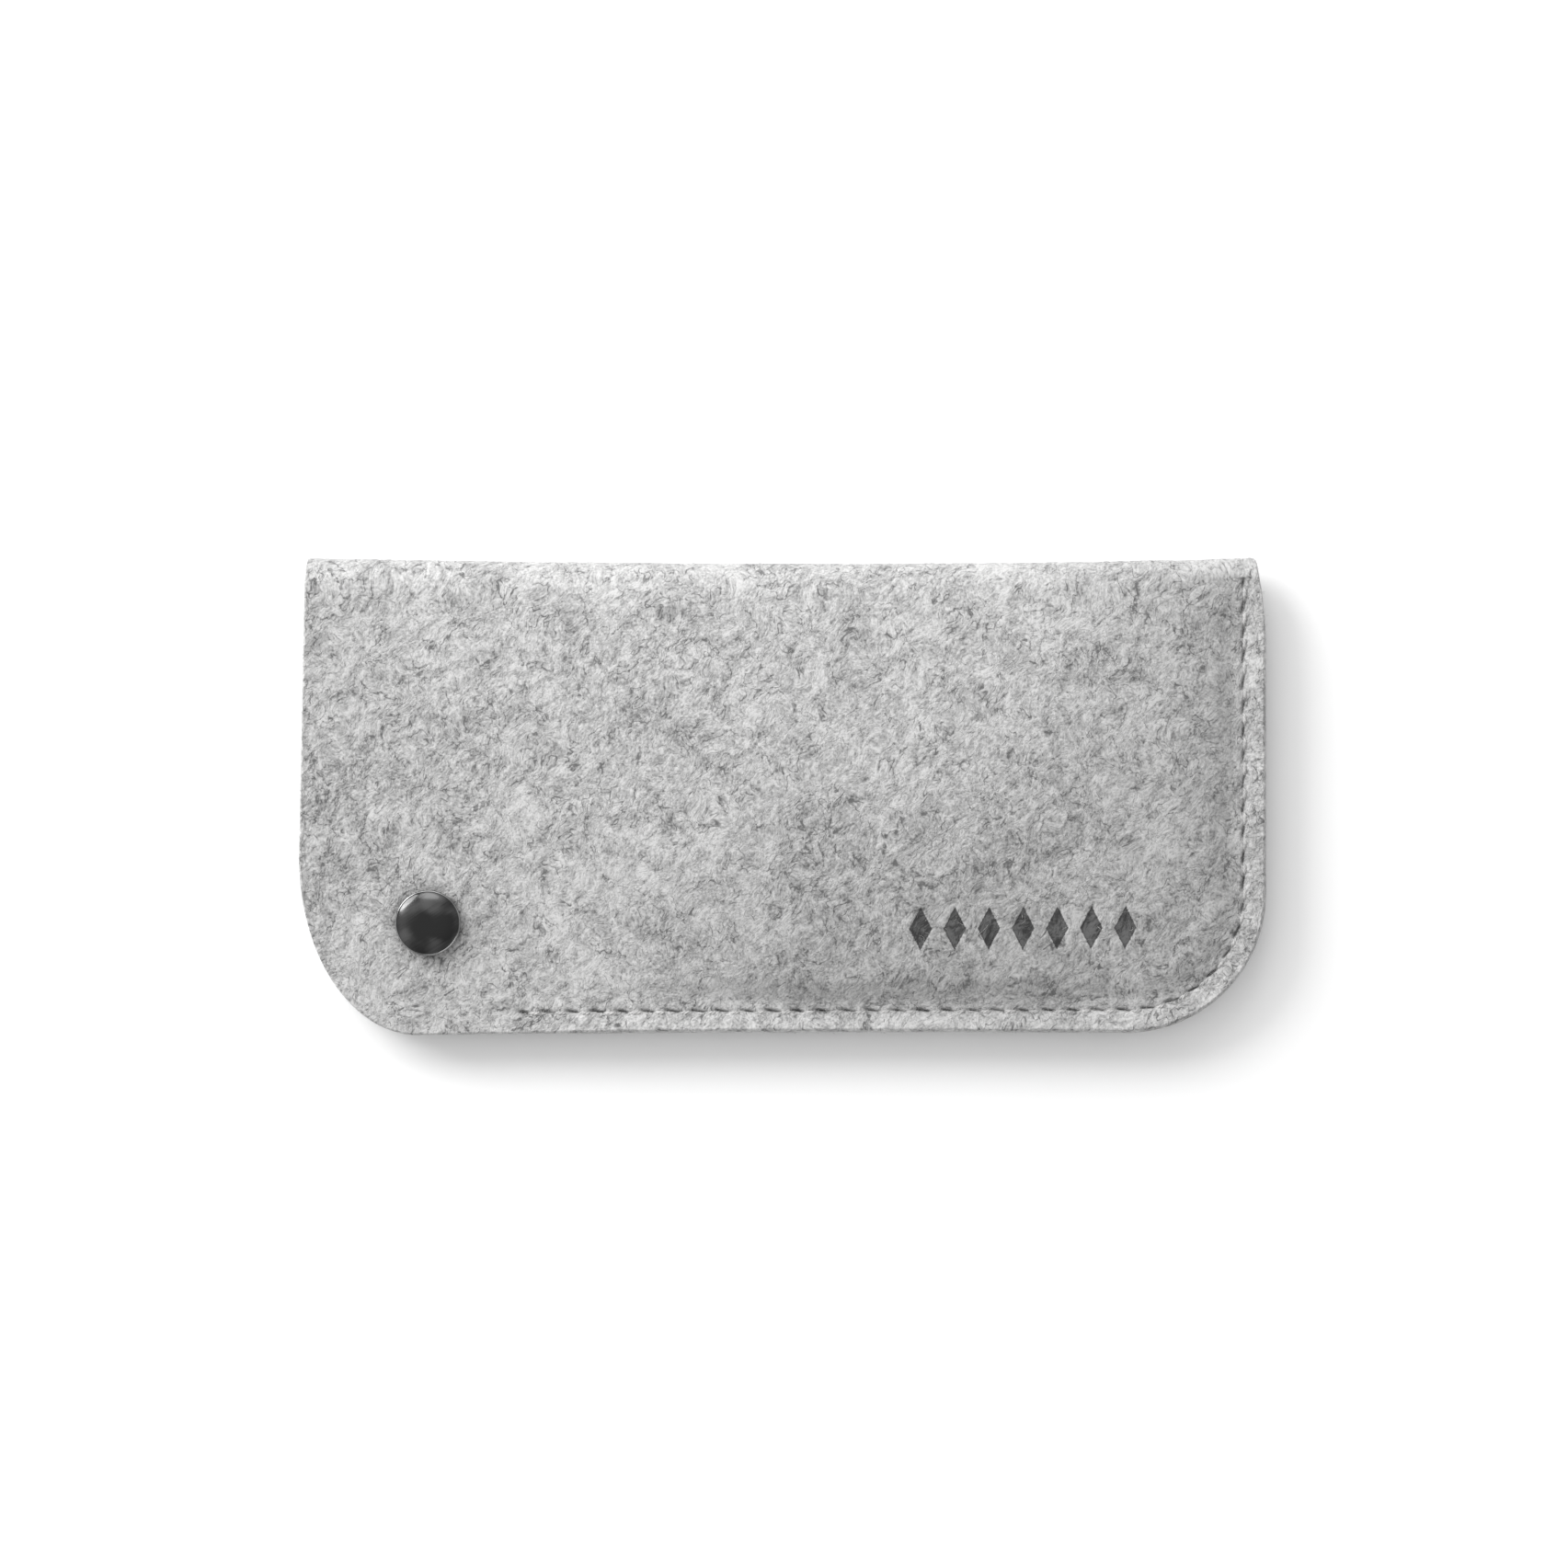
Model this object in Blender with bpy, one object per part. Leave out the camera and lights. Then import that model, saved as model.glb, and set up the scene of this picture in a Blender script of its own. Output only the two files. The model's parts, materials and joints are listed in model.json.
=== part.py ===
"""Soft pouch glasses case: one folded felt sheet, lockstitched round two sides and closed by one snap.

The sheet is folded along +Y. Thread closes the +X end and the -Y side. The -X end is the mouth, and the
corner beside it lifts on a bend line once the snap is open.

Units are metres. +X runs to the stitched end, +Y to the fold and +Z up from the face that the case lies
on. The origin is the centre of the object's box, on that face.
"""

import math

import bmesh
import bpy
from mathutils import Vector

# Felt sheet
HALF_LENGTH = 0.090
FELT = 0.0030
GAP = 0.0003
FOLD_EDGE_MID = 0.0433
FOLD_EDGE_RISE = 0.0012
SIDE_EDGE_LEFT = -0.0445
SIDE_EDGE_RIGHT = -0.0440
SIDE_EDGE_BOW = 0.00035
MOUTH_CORNER = (-0.068, -0.0115)
MOUTH_RADII = (0.022, 0.033)
MOUTH_TAPER = 0.0010
END_CORNER = (0.064, -0.018)
END_RADIUS = 0.026
END_TAPER = 0.0014
END_TAPER_START = 0.0285
END_TAPER_LENGTH = 0.016

# Heights of the sheet
TOTAL_HEIGHT = 0.0200
SEAM_HEIGHT = 0.0055
PINCH_WIDTH = 0.007
CROWN_X = 0.022
CROWN_Y = 0.006
CROWN_FULLNESS = 2.4
FOLD_DROP = 0.30
FOLD_DROP_LENGTH = 0.030
BEND_BLEND = 0.060
BACK_ROLL = 0.024
BACK_FADE = 0.040
SNAP_LIFT = 0.0007
SNAP_LIFT_FLAT = 0.006
SNAP_LIFT_FADE = 0.014

# Rolled fold: its depth grows with its height, so that the felt never bends tighter than it can
FOLD_TIGHTEST = 0.0021
FOLD_DEPTH_SHARE = 0.40
FOLD_MEASURED_AT = 0.0395
FOLD_ROUNDNESS = 0.55
FOLD_TIP_SHARE = 0.48
FOLD_SQUEEZE = 0.25

# Seam
SEAM_RADIUS = 0.022
SEAM_TOP = 0.0401
SEAM_END = (-0.0484, -0.0404)
STITCH_COUNT = 44
STITCH_ARCH = 0.0003
THREAD_RADIUS = 0.0003

# Bend line of the mouth flap, from the seam's end to the mouth's edge at the fold
BEND_FOOT = (-0.0496, -0.0404)
BEND_HEAD = (-0.0892, 0.0370)
BEND_SLOPE = 0.055
BEND_DEPTH = 0.0006
BEND_OVERRUN = 0.100
CUTTER_WIDTH = 0.250
CUTTER_HEIGHT = 0.040
MITRE = math.radians(45)

# Snap, closed
SNAP = (-0.0659, -0.0235)
CAP_RADIUS = 0.00595
CAP_HEIGHT = 0.0022
FLANGE_BED = 0.0005
SPRING_WIRE = 0.00025
SPRING_RADIUS = 0.00265
BORE_OVERRUN = 0.002
ROUND_STEPS = 24

# Grid of the sheet
CORNER_COLUMNS = 6
MIDDLE_COLUMNS = 14
PANEL_ROWS = 13
ROW_BIAS = 1.5
FOLD_ROWS = 3
SLOPE_STEP = 0.00005
FOLD_STEP = 0.001


def smooth(t):
    """Ease from 0 to 1 as t goes from 0 to 1."""
    t = min(max(t, 0.0), 1.0)
    return t * t * (3.0 - 2.0 * t)


def mix(a, b, t):
    return a + (b - a) * t


# ---------------------------------------------------------------- outline


def fold_edge(x):
    """Outermost y of the fold, which is pulled in where the case is fullest."""
    return FOLD_EDGE_MID + FOLD_EDGE_RISE * (x / HALF_LENGTH) ** 2


def side_edge(x):
    """Lowest y of the sheet in column x: elliptical mouth corner, long side, round end corner."""
    if x < MOUTH_CORNER[0]:
        across = min((MOUTH_CORNER[0] - x) / MOUTH_RADII[0], 1.0)
        return MOUTH_CORNER[1] - MOUTH_RADII[1] * math.sqrt(1.0 - across**2)
    if x > END_CORNER[0]:
        across = min((x - END_CORNER[0]) / END_RADIUS, 1.0)
        return END_CORNER[1] - END_RADIUS * math.sqrt(1.0 - across**2)
    along = (x - MOUTH_CORNER[0]) / (END_CORNER[0] - MOUTH_CORNER[0])
    return mix(SIDE_EDGE_LEFT, SIDE_EDGE_RIGHT, along) + SIDE_EDGE_BOW * math.sin(math.pi * along)


def true_x(column, y):
    """X of a column at height y. Both ends of the case draw in a little towards the fold."""
    if column < 0.0:
        rise = (y - MOUTH_CORNER[1]) / (FOLD_EDGE_MID - MOUTH_CORNER[1])
        taper = MOUTH_TAPER * min(max(rise, 0.0), 1.0)
    else:
        rise = (y - END_TAPER_START) / END_TAPER_LENGTH
        taper = END_TAPER * min(max(rise, 0.0), 1.0) ** 2
    return column * (1.0 - taper / HALF_LENGTH)


def columns():
    """Column positions, closer together round the two corners."""
    quarter = [i / CORNER_COLUMNS * math.pi / 2 for i in range(CORNER_COLUMNS + 1)]
    mouth = [MOUTH_CORNER[0] - MOUTH_RADII[0] * math.cos(angle) for angle in quarter]
    end = [END_CORNER[0] + END_RADIUS * math.sin(angle) for angle in quarter]
    span = [mix(mouth[-1], end[0], i / MIDDLE_COLUMNS) for i in range(1, MIDDLE_COLUMNS)]
    return mouth + span + end


# ---------------------------------------------------------------- surfaces


def inside_seam(x, y):
    """Distance from the stitch line, positive on the pocket's side."""
    past_x = x - END_CORNER[0]
    past_y = END_CORNER[1] - y
    outside = math.hypot(max(past_x, 0.0), max(past_y, 0.0))
    return SEAM_RADIUS - outside - min(max(past_x, past_y), 0.0)


def bend_frame():
    """Origin, direction and towards-the-panel normal of the bend line, seen from above."""
    foot = Vector(BEND_FOOT)
    along = (Vector(BEND_HEAD) - foot).normalized()
    return foot, along, Vector((along.y, -along.x))


def bend_coordinates(x, y):
    """Distance along the bend line from its foot, and distance from it towards the front panel."""
    foot, along, across = bend_frame()
    offset = Vector((x, y)) - foot
    return offset.dot(along), offset.dot(across)


def fullness(x, y):
    """0 on the stitch line to 1 at the crown."""
    seam_x = END_CORNER[0] + SEAM_RADIUS
    end = min((seam_x - x) / (seam_x - CROWN_X), 1.0)
    side = min((y - SEAM_END[1]) / (CROWN_Y - SEAM_END[1]), 1.0)
    beyond = max(y - CROWN_Y, 0.0) / FOLD_DROP_LENGTH
    across = 1.0 - max(1.0 - end, 0.0) ** CROWN_FULLNESS
    upward = 1.0 - max(1.0 - side, 0.0) ** CROWN_FULLNESS - FOLD_DROP * beyond**2
    return max(across, 0.0) * max(upward, 0.0) * smooth(inside_seam(x, y) / PINCH_WIDTH)


def front_height(x, y):
    """Middle of the front felt: flat over the mouth flap, then swelling to the crown."""
    along, across = bend_coordinates(x, y)
    seam = SEAM_HEIGHT + GAP / 2 + FELT / 2
    flap = seam + BEND_SLOPE * max(along, 0.0)
    puffed = seam + (TOTAL_HEIGHT - FELT / 2 - seam) * fullness(x, y)
    return mix(flap, puffed, smooth(across / BEND_BLEND))


def back_height(x, y):
    """Middle of the back felt: flat on the ground, rolling up to the seam and a little at the snap."""
    seam = SEAM_HEIGHT - GAP / 2 - FELT / 2
    roll = 1.0 - smooth(inside_seam(x, y) / BACK_ROLL)
    fade = smooth((x + HALF_LENGTH) / BACK_FADE)
    from_snap = math.hypot(x - SNAP[0], y - SNAP[1])
    at_snap = 1.0 - smooth((from_snap - SNAP_LIFT_FLAT) / SNAP_LIFT_FADE)
    return FELT / 2 + (seam - FELT / 2) * roll * fade + SNAP_LIFT * at_snap


def surface_point(height, column, y):
    x = true_x(column, y)
    return Vector((x, y, height(x, y)))


def surface_normal(height, column, y):
    """Upward normal of a height field."""
    x = true_x(column, y)
    slope_x = (height(x + SLOPE_STEP, y) - height(x - SLOPE_STEP, y)) / (2 * SLOPE_STEP)
    slope_y = (height(x, y + SLOPE_STEP) - height(x, y - SLOPE_STEP)) / (2 * SLOPE_STEP)
    return Vector((-slope_x, -slope_y, 1.0)).normalized()


def fold_depth(x):
    """How far the rolled fold reaches in from its outermost line, least where the end is sewn flat."""
    height = front_height(x, FOLD_MEASURED_AT) - back_height(x, FOLD_MEASURED_AT)
    return FELT / 2 + FOLD_TIGHTEST + FOLD_DEPTH_SHARE * (height - FELT - GAP)


def split_y(x):
    """Where the fold ends and the front panel starts."""
    return fold_edge(x) - fold_depth(x)


def bezier(points, t):
    a, b, c, d = points
    s = 1.0 - t
    return a * s**3 + b * (3 * s * s * t) + c * (3 * s * t * t) + d * t**3


def fold_point(column, t):
    """Middle of the felt round the fold, from the front panel's line (t=0) to the back panel's (t=2)."""
    tip_y = fold_edge(column) - FELT / 2
    top_y = split_y(column) + GAP / 2
    low_y = split_y(column)
    x = true_x(column, tip_y)
    top_z = front_height(x, top_y)
    low_z = back_height(x, low_y)
    tip_z = mix(low_z, top_z, FOLD_TIP_SHARE)
    slope = (front_height(x, top_y + SLOPE_STEP) - front_height(x, top_y - SLOPE_STEP)) / (2 * SLOPE_STEP)
    reach = FOLD_ROUNDNESS * (tip_y - top_y)
    tip = Vector((x, tip_y, tip_z))
    if t <= 1.0:
        start = Vector((x, top_y, top_z))
        handle = start + Vector((0.0, reach, reach * slope))
        above = tip + Vector((0.0, 0.0, FOLD_ROUNDNESS * (top_z - tip_z)))
        return bezier((start, handle, above, tip), t)
    end = Vector((x, low_y, low_z))
    below = tip - Vector((0.0, 0.0, FOLD_ROUNDNESS * (tip_z - low_z)))
    handle = end + Vector((0.0, FOLD_ROUNDNESS * (tip_y - low_y), 0.0))
    return bezier((tip, below, handle, end), t - 1.0)


def fold_normal(column, t):
    """Outward normal of the fold, on the side away from the pocket."""
    low, high = max(t - FOLD_STEP, 0.0), min(t + FOLD_STEP, 2.0)
    around = fold_point(column, high) - fold_point(column, low)
    left, right = max(column - FOLD_STEP, -HALF_LENGTH), min(column + FOLD_STEP, HALF_LENGTH)
    lengthwise = fold_point(right, t) - fold_point(left, t)
    return lengthwise.cross(around).normalized()


# ---------------------------------------------------------------- meshes


def material(name, colour, roughness, metallic=0.0):
    made = bpy.data.materials.new(name)
    made.use_nodes = True
    shader = made.node_tree.nodes["Principled BSDF"]
    shader.inputs["Base Color"].default_value = (*colour, 1.0)
    shader.inputs["Roughness"].default_value = roughness
    shader.inputs["Metallic"].default_value = metallic
    return made


def add_object(name, mesh, finish, parent, location=(0.0, 0.0, 0.0)):
    """Place an object at a world location, whatever its parent."""
    made = bpy.data.objects.new(name, mesh)
    bpy.context.scene.collection.objects.link(made)
    if finish:
        mesh.materials.append(finish)
    made.parent = parent
    made.location = Vector(location) - (parent.location if parent else Vector())
    return made


def shade_round(mesh, angle=40):
    mesh.shade_smooth()
    mesh.set_sharp_from_angle(angle=math.radians(angle))


def thick_sheet(name, grid):
    """Closed mesh of a sheet from rows of (middle point, outward normal, depth of its inner face)."""
    mesh = bpy.data.meshes.new(name)
    shell = bmesh.new()
    outer = [[shell.verts.new(p + n * FELT / 2) for p, n, _ in row] for row in grid]
    inner = [[shell.verts.new(p - n * depth) for p, n, depth in row] for row in grid]
    rows, across = len(grid), len(grid[0])
    for i in range(rows - 1):
        for j in range(across - 1):
            for face in (outer, inner):
                shell.faces.new((face[i][j], face[i][j + 1], face[i + 1][j + 1], face[i + 1][j]))
    rim = [(0, j) for j in range(across)] + [(i, across - 1) for i in range(1, rows)]
    rim += [(rows - 1, j) for j in range(across - 2, -1, -1)] + [(i, 0) for i in range(rows - 2, 0, -1)]
    for (i, j), (k, m) in zip(rim, rim[1:] + rim[:1]):
        shell.faces.new((outer[i][j], outer[k][m], inner[k][m], inner[i][j]))
    bmesh.ops.recalc_face_normals(shell, faces=shell.faces)
    shell.to_mesh(mesh)
    shell.free()
    return mesh


def panel_column(height, column, top, side):
    """One column of a panel, from the fold to the sewn side. side is 1 where its outer face is up."""
    shares = [(i / PANEL_ROWS) ** ROW_BIAS for i in range(PANEL_ROWS, -1, -1)]
    ys = [mix(side_edge(column), top, share) for share in shares]
    return [
        (surface_point(height, column, y), surface_normal(height, column, y) * side, FELT / 2) for y in ys
    ]


def fold_column(column):
    """One column of the fold. The felt is squeezed on its inner face where it turns."""
    turns = [i / FOLD_ROWS for i in range(2 * FOLD_ROWS)]
    depths = [FELT / 2 * (1.0 - FOLD_SQUEEZE * math.sin(math.pi * t / 2)) for t in turns]
    return [(fold_point(column, t), fold_normal(column, t), depth) for t, depth in zip(turns, depths)]


def front_sheet(name):
    return thick_sheet(
        name, [panel_column(front_height, column, split_y(column) - GAP / 2, 1) for column in columns()]
    )


def back_sheet(name):
    """The fold and the back panel, as one strip of sheet."""
    return thick_sheet(
        name,
        [
            fold_column(column) + panel_column(back_height, column, split_y(column), -1)
            for column in columns()
        ],
    )


def turned(name, profile):
    """Solid turned round Z from a closed profile of (radius, height) points, or one that ends on the axis."""
    mesh = bpy.data.meshes.new(name)
    solid = bmesh.new()
    points = [solid.verts.new((radius, 0.0, height)) for radius, height in profile]
    edges = [solid.edges.new(pair) for pair in zip(points, points[1:])]
    if profile[0][0] > 0.0:
        edges.append(solid.edges.new((points[-1], points[0])))
    bmesh.ops.spin(
        solid,
        geom=points + edges,
        cent=(0.0, 0.0, 0.0),
        axis=(0.0, 0.0, 1.0),
        angle=2 * math.pi,
        steps=ROUND_STEPS,
        use_duplicate=False,
    )
    bmesh.ops.remove_doubles(solid, verts=solid.verts, dist=1e-6)
    bmesh.ops.recalc_face_normals(solid, faces=solid.faces)
    solid.to_mesh(mesh)
    solid.free()
    shade_round(mesh)
    return mesh


def cut(target, cutter):
    """Take a hidden cutter away from a target."""
    cutter.hide_render = True
    cutter.display_type = "WIRE"
    boolean = target.modifiers.new(cutter.name, "BOOLEAN")
    boolean.operation = "DIFFERENCE"
    boolean.object = cutter


# ---------------------------------------------------------------- bend line


def bend_axis():
    """A point on the flap's axis, just under the felt's outer face, and the direction that lifts the flap."""
    foot, along, _ = bend_frame()
    height = SEAM_HEIGHT + GAP / 2 + FELT - BEND_DEPTH
    return Vector((foot.x, foot.y, height)), Vector((along.x, along.y, BEND_SLOPE)).normalized()


def bend_cutter(name, side, parent):
    """Prism over everything on one side of the bend line, with a face that leans away above the axis.

    side is 1 to cover the front panel's side and -1 to cover the flap's.
    """
    start, along = bend_axis()
    across = Vector((along.y, -along.x, 0.0)).normalized() * side
    upward = Vector((0.0, 0.0, 1.0))
    lean = CUTTER_HEIGHT * math.tan(MITRE)
    outline = [
        (-GAP / 2, -CUTTER_HEIGHT),
        (-GAP / 2, 0.0),
        (-GAP / 2 - lean, CUTTER_HEIGHT),
        (CUTTER_WIDTH, CUTTER_HEIGHT),
        (CUTTER_WIDTH, -CUTTER_HEIGHT),
    ]
    length = (Vector(BEND_HEAD) - Vector(BEND_FOOT)).length + 2 * BEND_OVERRUN
    mesh = bpy.data.meshes.new(name)
    prism = bmesh.new()
    base = start - along * BEND_OVERRUN
    ring = [prism.verts.new(base + across * p + upward * q) for p, q in outline]
    face = prism.faces.new(ring)
    pulled = bmesh.ops.extrude_face_region(prism, geom=[face])["geom"]
    moved = [v for v in pulled if isinstance(v, bmesh.types.BMVert)]
    bmesh.ops.translate(prism, verts=moved, vec=along * length)
    bmesh.ops.recalc_face_normals(prism, faces=prism.faces)
    prism.to_mesh(mesh)
    prism.free()
    return add_object(name, mesh, None, parent)


# ---------------------------------------------------------------- seam


def stitch_path():
    """Length of the stitch line, and a function from distance along it to place and direction."""
    end_x = END_CORNER[0] + SEAM_RADIUS
    straight = SEAM_TOP - END_CORNER[1]
    arc = SEAM_RADIUS * math.pi / 2
    corner = Vector(END_CORNER)
    low = Vector((END_CORNER[0], END_CORNER[1] - SEAM_RADIUS))
    side = Vector(SEAM_END) - low

    def at(distance):
        if distance < straight:
            return Vector((end_x, SEAM_TOP - distance)), Vector((0.0, -1.0))
        if distance < straight + arc:
            angle = (distance - straight) / SEAM_RADIUS
            radial = Vector((math.cos(angle), -math.sin(angle)))
            return corner + radial * SEAM_RADIUS, Vector((-math.sin(angle), -math.cos(angle)))
        return low + side.normalized() * (distance - straight - arc), side.normalized()

    return straight + arc + side.length, at


def seam_thread(name, height, side):
    """One thread along the seam, on the felt's upper (1) or lower (-1) face, arched between needle holes."""
    total, at = stitch_path()
    pitch = total / STITCH_COUNT
    points = []
    for i in range(2 * STITCH_COUNT + 1):
        place, _ = at(i * pitch / 2)
        lift = FELT / 2 + GAP + THREAD_RADIUS + (STITCH_ARCH if i % 2 else 0.0)
        points.append((place.x, place.y, height(place.x, place.y) + side * lift))
    curve = bpy.data.curves.new(name, "CURVE")
    curve.dimensions = "3D"
    curve.bevel_depth = THREAD_RADIUS
    curve.bevel_resolution = 1
    curve.use_fill_caps = True
    run = curve.splines.new("POLY")
    run.points.add(len(points) - 1)
    for slot, point in zip(run.points, points):
        slot.co = (*point, 1.0)
    return curve


# ---------------------------------------------------------------- snap


def snap_levels():
    """Heights at the snap: outer and inner face of the back felt, then inner and outer face of the front."""
    back = back_height(*SNAP)
    front = front_height(*SNAP)
    return back - FELT / 2, back + FELT / 2, front - FELT / 2, front + FELT / 2


def build_snap(metal, spring_metal, root, flap):
    """The snap's six pieces, all turned round one vertical axis and one behind the other."""
    ground, back_in, front_in, front_out = snap_levels()
    place = (*SNAP, 0.0)

    # Back half. The post's flange presses on the felt from below and its tube holds the stud.
    flange_top = ground + FLANGE_BED - GAP
    stud_low = back_in - FLANGE_BED + GAP
    stud_top = stud_low + 0.0023
    post = [
        (0.00055, flange_top - 0.0006),
        (0.0013, flange_top - 0.0009),
        (0.0040, flange_top - 0.0009),
        (0.0047, flange_top - 0.0006),
        (0.0047, flange_top),
        (0.0010, flange_top),
        (0.0010, stud_top - 0.0009),
        (0.00055, stud_top - 0.0009),
    ]
    stud = [
        (0.0013, stud_low),
        (0.0039, stud_low),
        (0.0042, stud_low + 0.0002),
        (0.0039, stud_low + 0.0005),
        (0.0021, stud_low + 0.0006),
        (0.0016, stud_low + 0.0009),
        (0.0016, stud_low + 0.0013),
        (0.0019, stud_low + 0.00165),
        (0.0018, stud_low + 0.0019),
        (0.0013, stud_low + 0.0022),
        (0.0, stud_top),
        (0.0, stud_top - 0.0005),
        (0.0009, stud_top - 0.0006),
        (0.0013, stud_top - 0.0010),
    ]

    # Front half. The socket's rim hangs over the stud, and its groove holds the ring spring.
    plate_top = front_in + FLANGE_BED - GAP / 2
    rim_low = stud_low + 0.0005 + GAP
    spring_mid = rim_low + 0.00055
    socket = [
        (0.0028, rim_low),
        (0.0036, rim_low),
        (0.0040, rim_low + 0.0004),
        (0.0040, plate_top - 0.0006),
        (0.0050, plate_top - 0.0005),
        (0.0052, plate_top - 0.0002),
        (0.0050, plate_top),
        (0.0016, plate_top),
        (0.0016, plate_top - 0.0004),
        (0.0028, plate_top - 0.0004),
        (0.0028, spring_mid + 0.0004),
        (0.0034, spring_mid + 0.0004),
        (0.0034, spring_mid - 0.0003),
        (0.0028, spring_mid - 0.0003),
    ]
    turns = [i * math.pi / 4 for i in range(8)]
    spring = [
        (SPRING_RADIUS + SPRING_WIRE * math.cos(turn), spring_mid + SPRING_WIRE * math.sin(turn))
        for turn in turns
    ]
    flare = plate_top - 0.0004 - GAP / 2
    cap_low = front_out + GAP
    rivet = [
        (0.0007, flare - 0.00025),
        (0.0021, flare - 0.00025),
        (0.0021, flare),
        (0.0013, flare),
        (0.0013, cap_low + 0.0002),
        (0.0034, cap_low + 0.0002),
        (0.0034, cap_low + 0.0006),
        (0.0007, cap_low + 0.0006),
    ]
    cap = [
        (0.0, cap_low + CAP_HEIGHT),
        (0.0022, cap_low + CAP_HEIGHT - 0.00015),
        (0.0040, cap_low + CAP_HEIGHT - 0.0006),
        (0.0052, cap_low + CAP_HEIGHT - 0.0012),
        (CAP_RADIUS, cap_low + 0.0005),
        (CAP_RADIUS - 0.0001, cap_low + 0.0001),
        (CAP_RADIUS - 0.0006, cap_low),
        (0.0048, cap_low + 0.0004),
        (0.0037, cap_low + CAP_HEIGHT - 0.0010),
        (0.0, cap_low + CAP_HEIGHT - 0.0005),
    ]

    for name, profile, finish, parent in (
        ("stud_post", post, metal, root),
        ("snap_stud", stud, metal, root),
        ("snap_socket", socket, metal, flap),
        ("socket_spring", spring, spring_metal, flap),
        ("cap_rivet", rivet, metal, flap),
        ("snap_cap", cap, metal, flap),
    ):
        add_object(name, turned(name, profile), finish, parent, place)

    # What the snap takes out of each felt: a hole for its post, and the beds that its flanges press in.
    back_bore = [
        (0.0, ground - BORE_OVERRUN),
        (0.0050, ground - BORE_OVERRUN),
        (0.0050, ground + FLANGE_BED),
        (0.0014, ground + FLANGE_BED),
        (0.0014, back_in - FLANGE_BED),
        (0.0046, back_in - FLANGE_BED),
        (0.0046, back_in + BORE_OVERRUN),
        (0.0, back_in + BORE_OVERRUN),
    ]
    flap_bore = [
        (0.0, front_in - BORE_OVERRUN),
        (0.0056, front_in - BORE_OVERRUN),
        (0.0056, front_in + FLANGE_BED),
        (0.0017, front_in + FLANGE_BED),
        (0.0017, front_out + BORE_OVERRUN),
        (0.0, front_out + BORE_OVERRUN),
    ]
    back_cutter = add_object("back_bore", turned("back_bore", back_bore), None, root, place)
    flap_cutter = add_object("flap_bore", turned("flap_bore", flap_bore), None, flap, place)
    return back_cutter, flap_cutter


# ---------------------------------------------------------------- case


def build():
    for old in list(bpy.data.objects):
        bpy.data.objects.remove(old, do_unlink=True)

    felt = material("felt", (0.50, 0.50, 0.49), 0.95)
    thread = material("thread", (0.60, 0.60, 0.58), 0.80)
    gunmetal = material("gunmetal", (0.09, 0.09, 0.095), 0.35, 1.0)
    spring_steel = material("spring_steel", (0.45, 0.45, 0.46), 0.30, 1.0)

    root = add_object("case_body", None, None, None)
    hinge_point, _ = bend_axis()
    flap = add_object("mouth_flap_axis", None, None, root, hinge_point)

    back_panel = add_object("back_panel", back_sheet("back_panel"), felt, root)
    front_panel = add_object("front_panel", front_sheet("front_panel"), felt, root)
    mouth_flap = add_object("mouth_flap", front_sheet("mouth_flap"), felt, flap)
    cut(front_panel, bend_cutter("flap_side", -1, root))
    cut(mouth_flap, bend_cutter("panel_side", 1, flap))

    back_cutter, flap_cutter = build_snap(gunmetal, spring_steel, root, flap)
    cut(back_panel, back_cutter)
    cut(mouth_flap, flap_cutter)

    add_object("needle_thread", seam_thread("needle_thread", front_height, 1), thread, root)
    add_object("bobbin_thread", seam_thread("bobbin_thread", back_height, -1), thread, root)


build()
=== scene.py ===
"""Soft pouch glasses case: the felt, the thread and the snap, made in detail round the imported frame.

The felt is one sheet, folded along +Y. It is built in two pieces that meet where the fold becomes the
front, because only the front bends when the mouth flap lifts. Units are metres.
"""

import json
import math

import bmesh
import bpy
import numpy as np
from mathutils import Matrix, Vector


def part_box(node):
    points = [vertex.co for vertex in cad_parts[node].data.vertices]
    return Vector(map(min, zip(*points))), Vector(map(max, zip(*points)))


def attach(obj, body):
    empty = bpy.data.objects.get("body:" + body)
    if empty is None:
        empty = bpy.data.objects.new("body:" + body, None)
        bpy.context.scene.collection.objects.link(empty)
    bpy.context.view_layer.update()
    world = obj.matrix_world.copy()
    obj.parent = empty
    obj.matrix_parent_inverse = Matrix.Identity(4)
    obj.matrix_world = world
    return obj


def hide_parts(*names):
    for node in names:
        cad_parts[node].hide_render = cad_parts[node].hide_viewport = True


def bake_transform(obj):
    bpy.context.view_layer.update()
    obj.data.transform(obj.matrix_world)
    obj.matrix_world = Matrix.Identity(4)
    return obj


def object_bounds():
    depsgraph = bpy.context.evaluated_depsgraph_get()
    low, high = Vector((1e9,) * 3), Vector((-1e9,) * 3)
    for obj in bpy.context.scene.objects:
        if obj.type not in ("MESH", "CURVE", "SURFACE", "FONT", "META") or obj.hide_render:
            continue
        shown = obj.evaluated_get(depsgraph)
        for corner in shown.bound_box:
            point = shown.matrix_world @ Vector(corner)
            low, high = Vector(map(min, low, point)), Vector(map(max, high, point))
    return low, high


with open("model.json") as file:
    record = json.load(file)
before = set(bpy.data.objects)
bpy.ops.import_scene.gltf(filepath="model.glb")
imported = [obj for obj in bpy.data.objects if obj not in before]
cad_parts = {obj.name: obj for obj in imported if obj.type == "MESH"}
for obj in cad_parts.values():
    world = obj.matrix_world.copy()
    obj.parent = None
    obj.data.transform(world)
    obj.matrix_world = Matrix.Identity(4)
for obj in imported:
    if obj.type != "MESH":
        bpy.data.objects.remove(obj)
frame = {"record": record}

CAD_LOW, CAD_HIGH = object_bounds()
MM = 0.001

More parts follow.
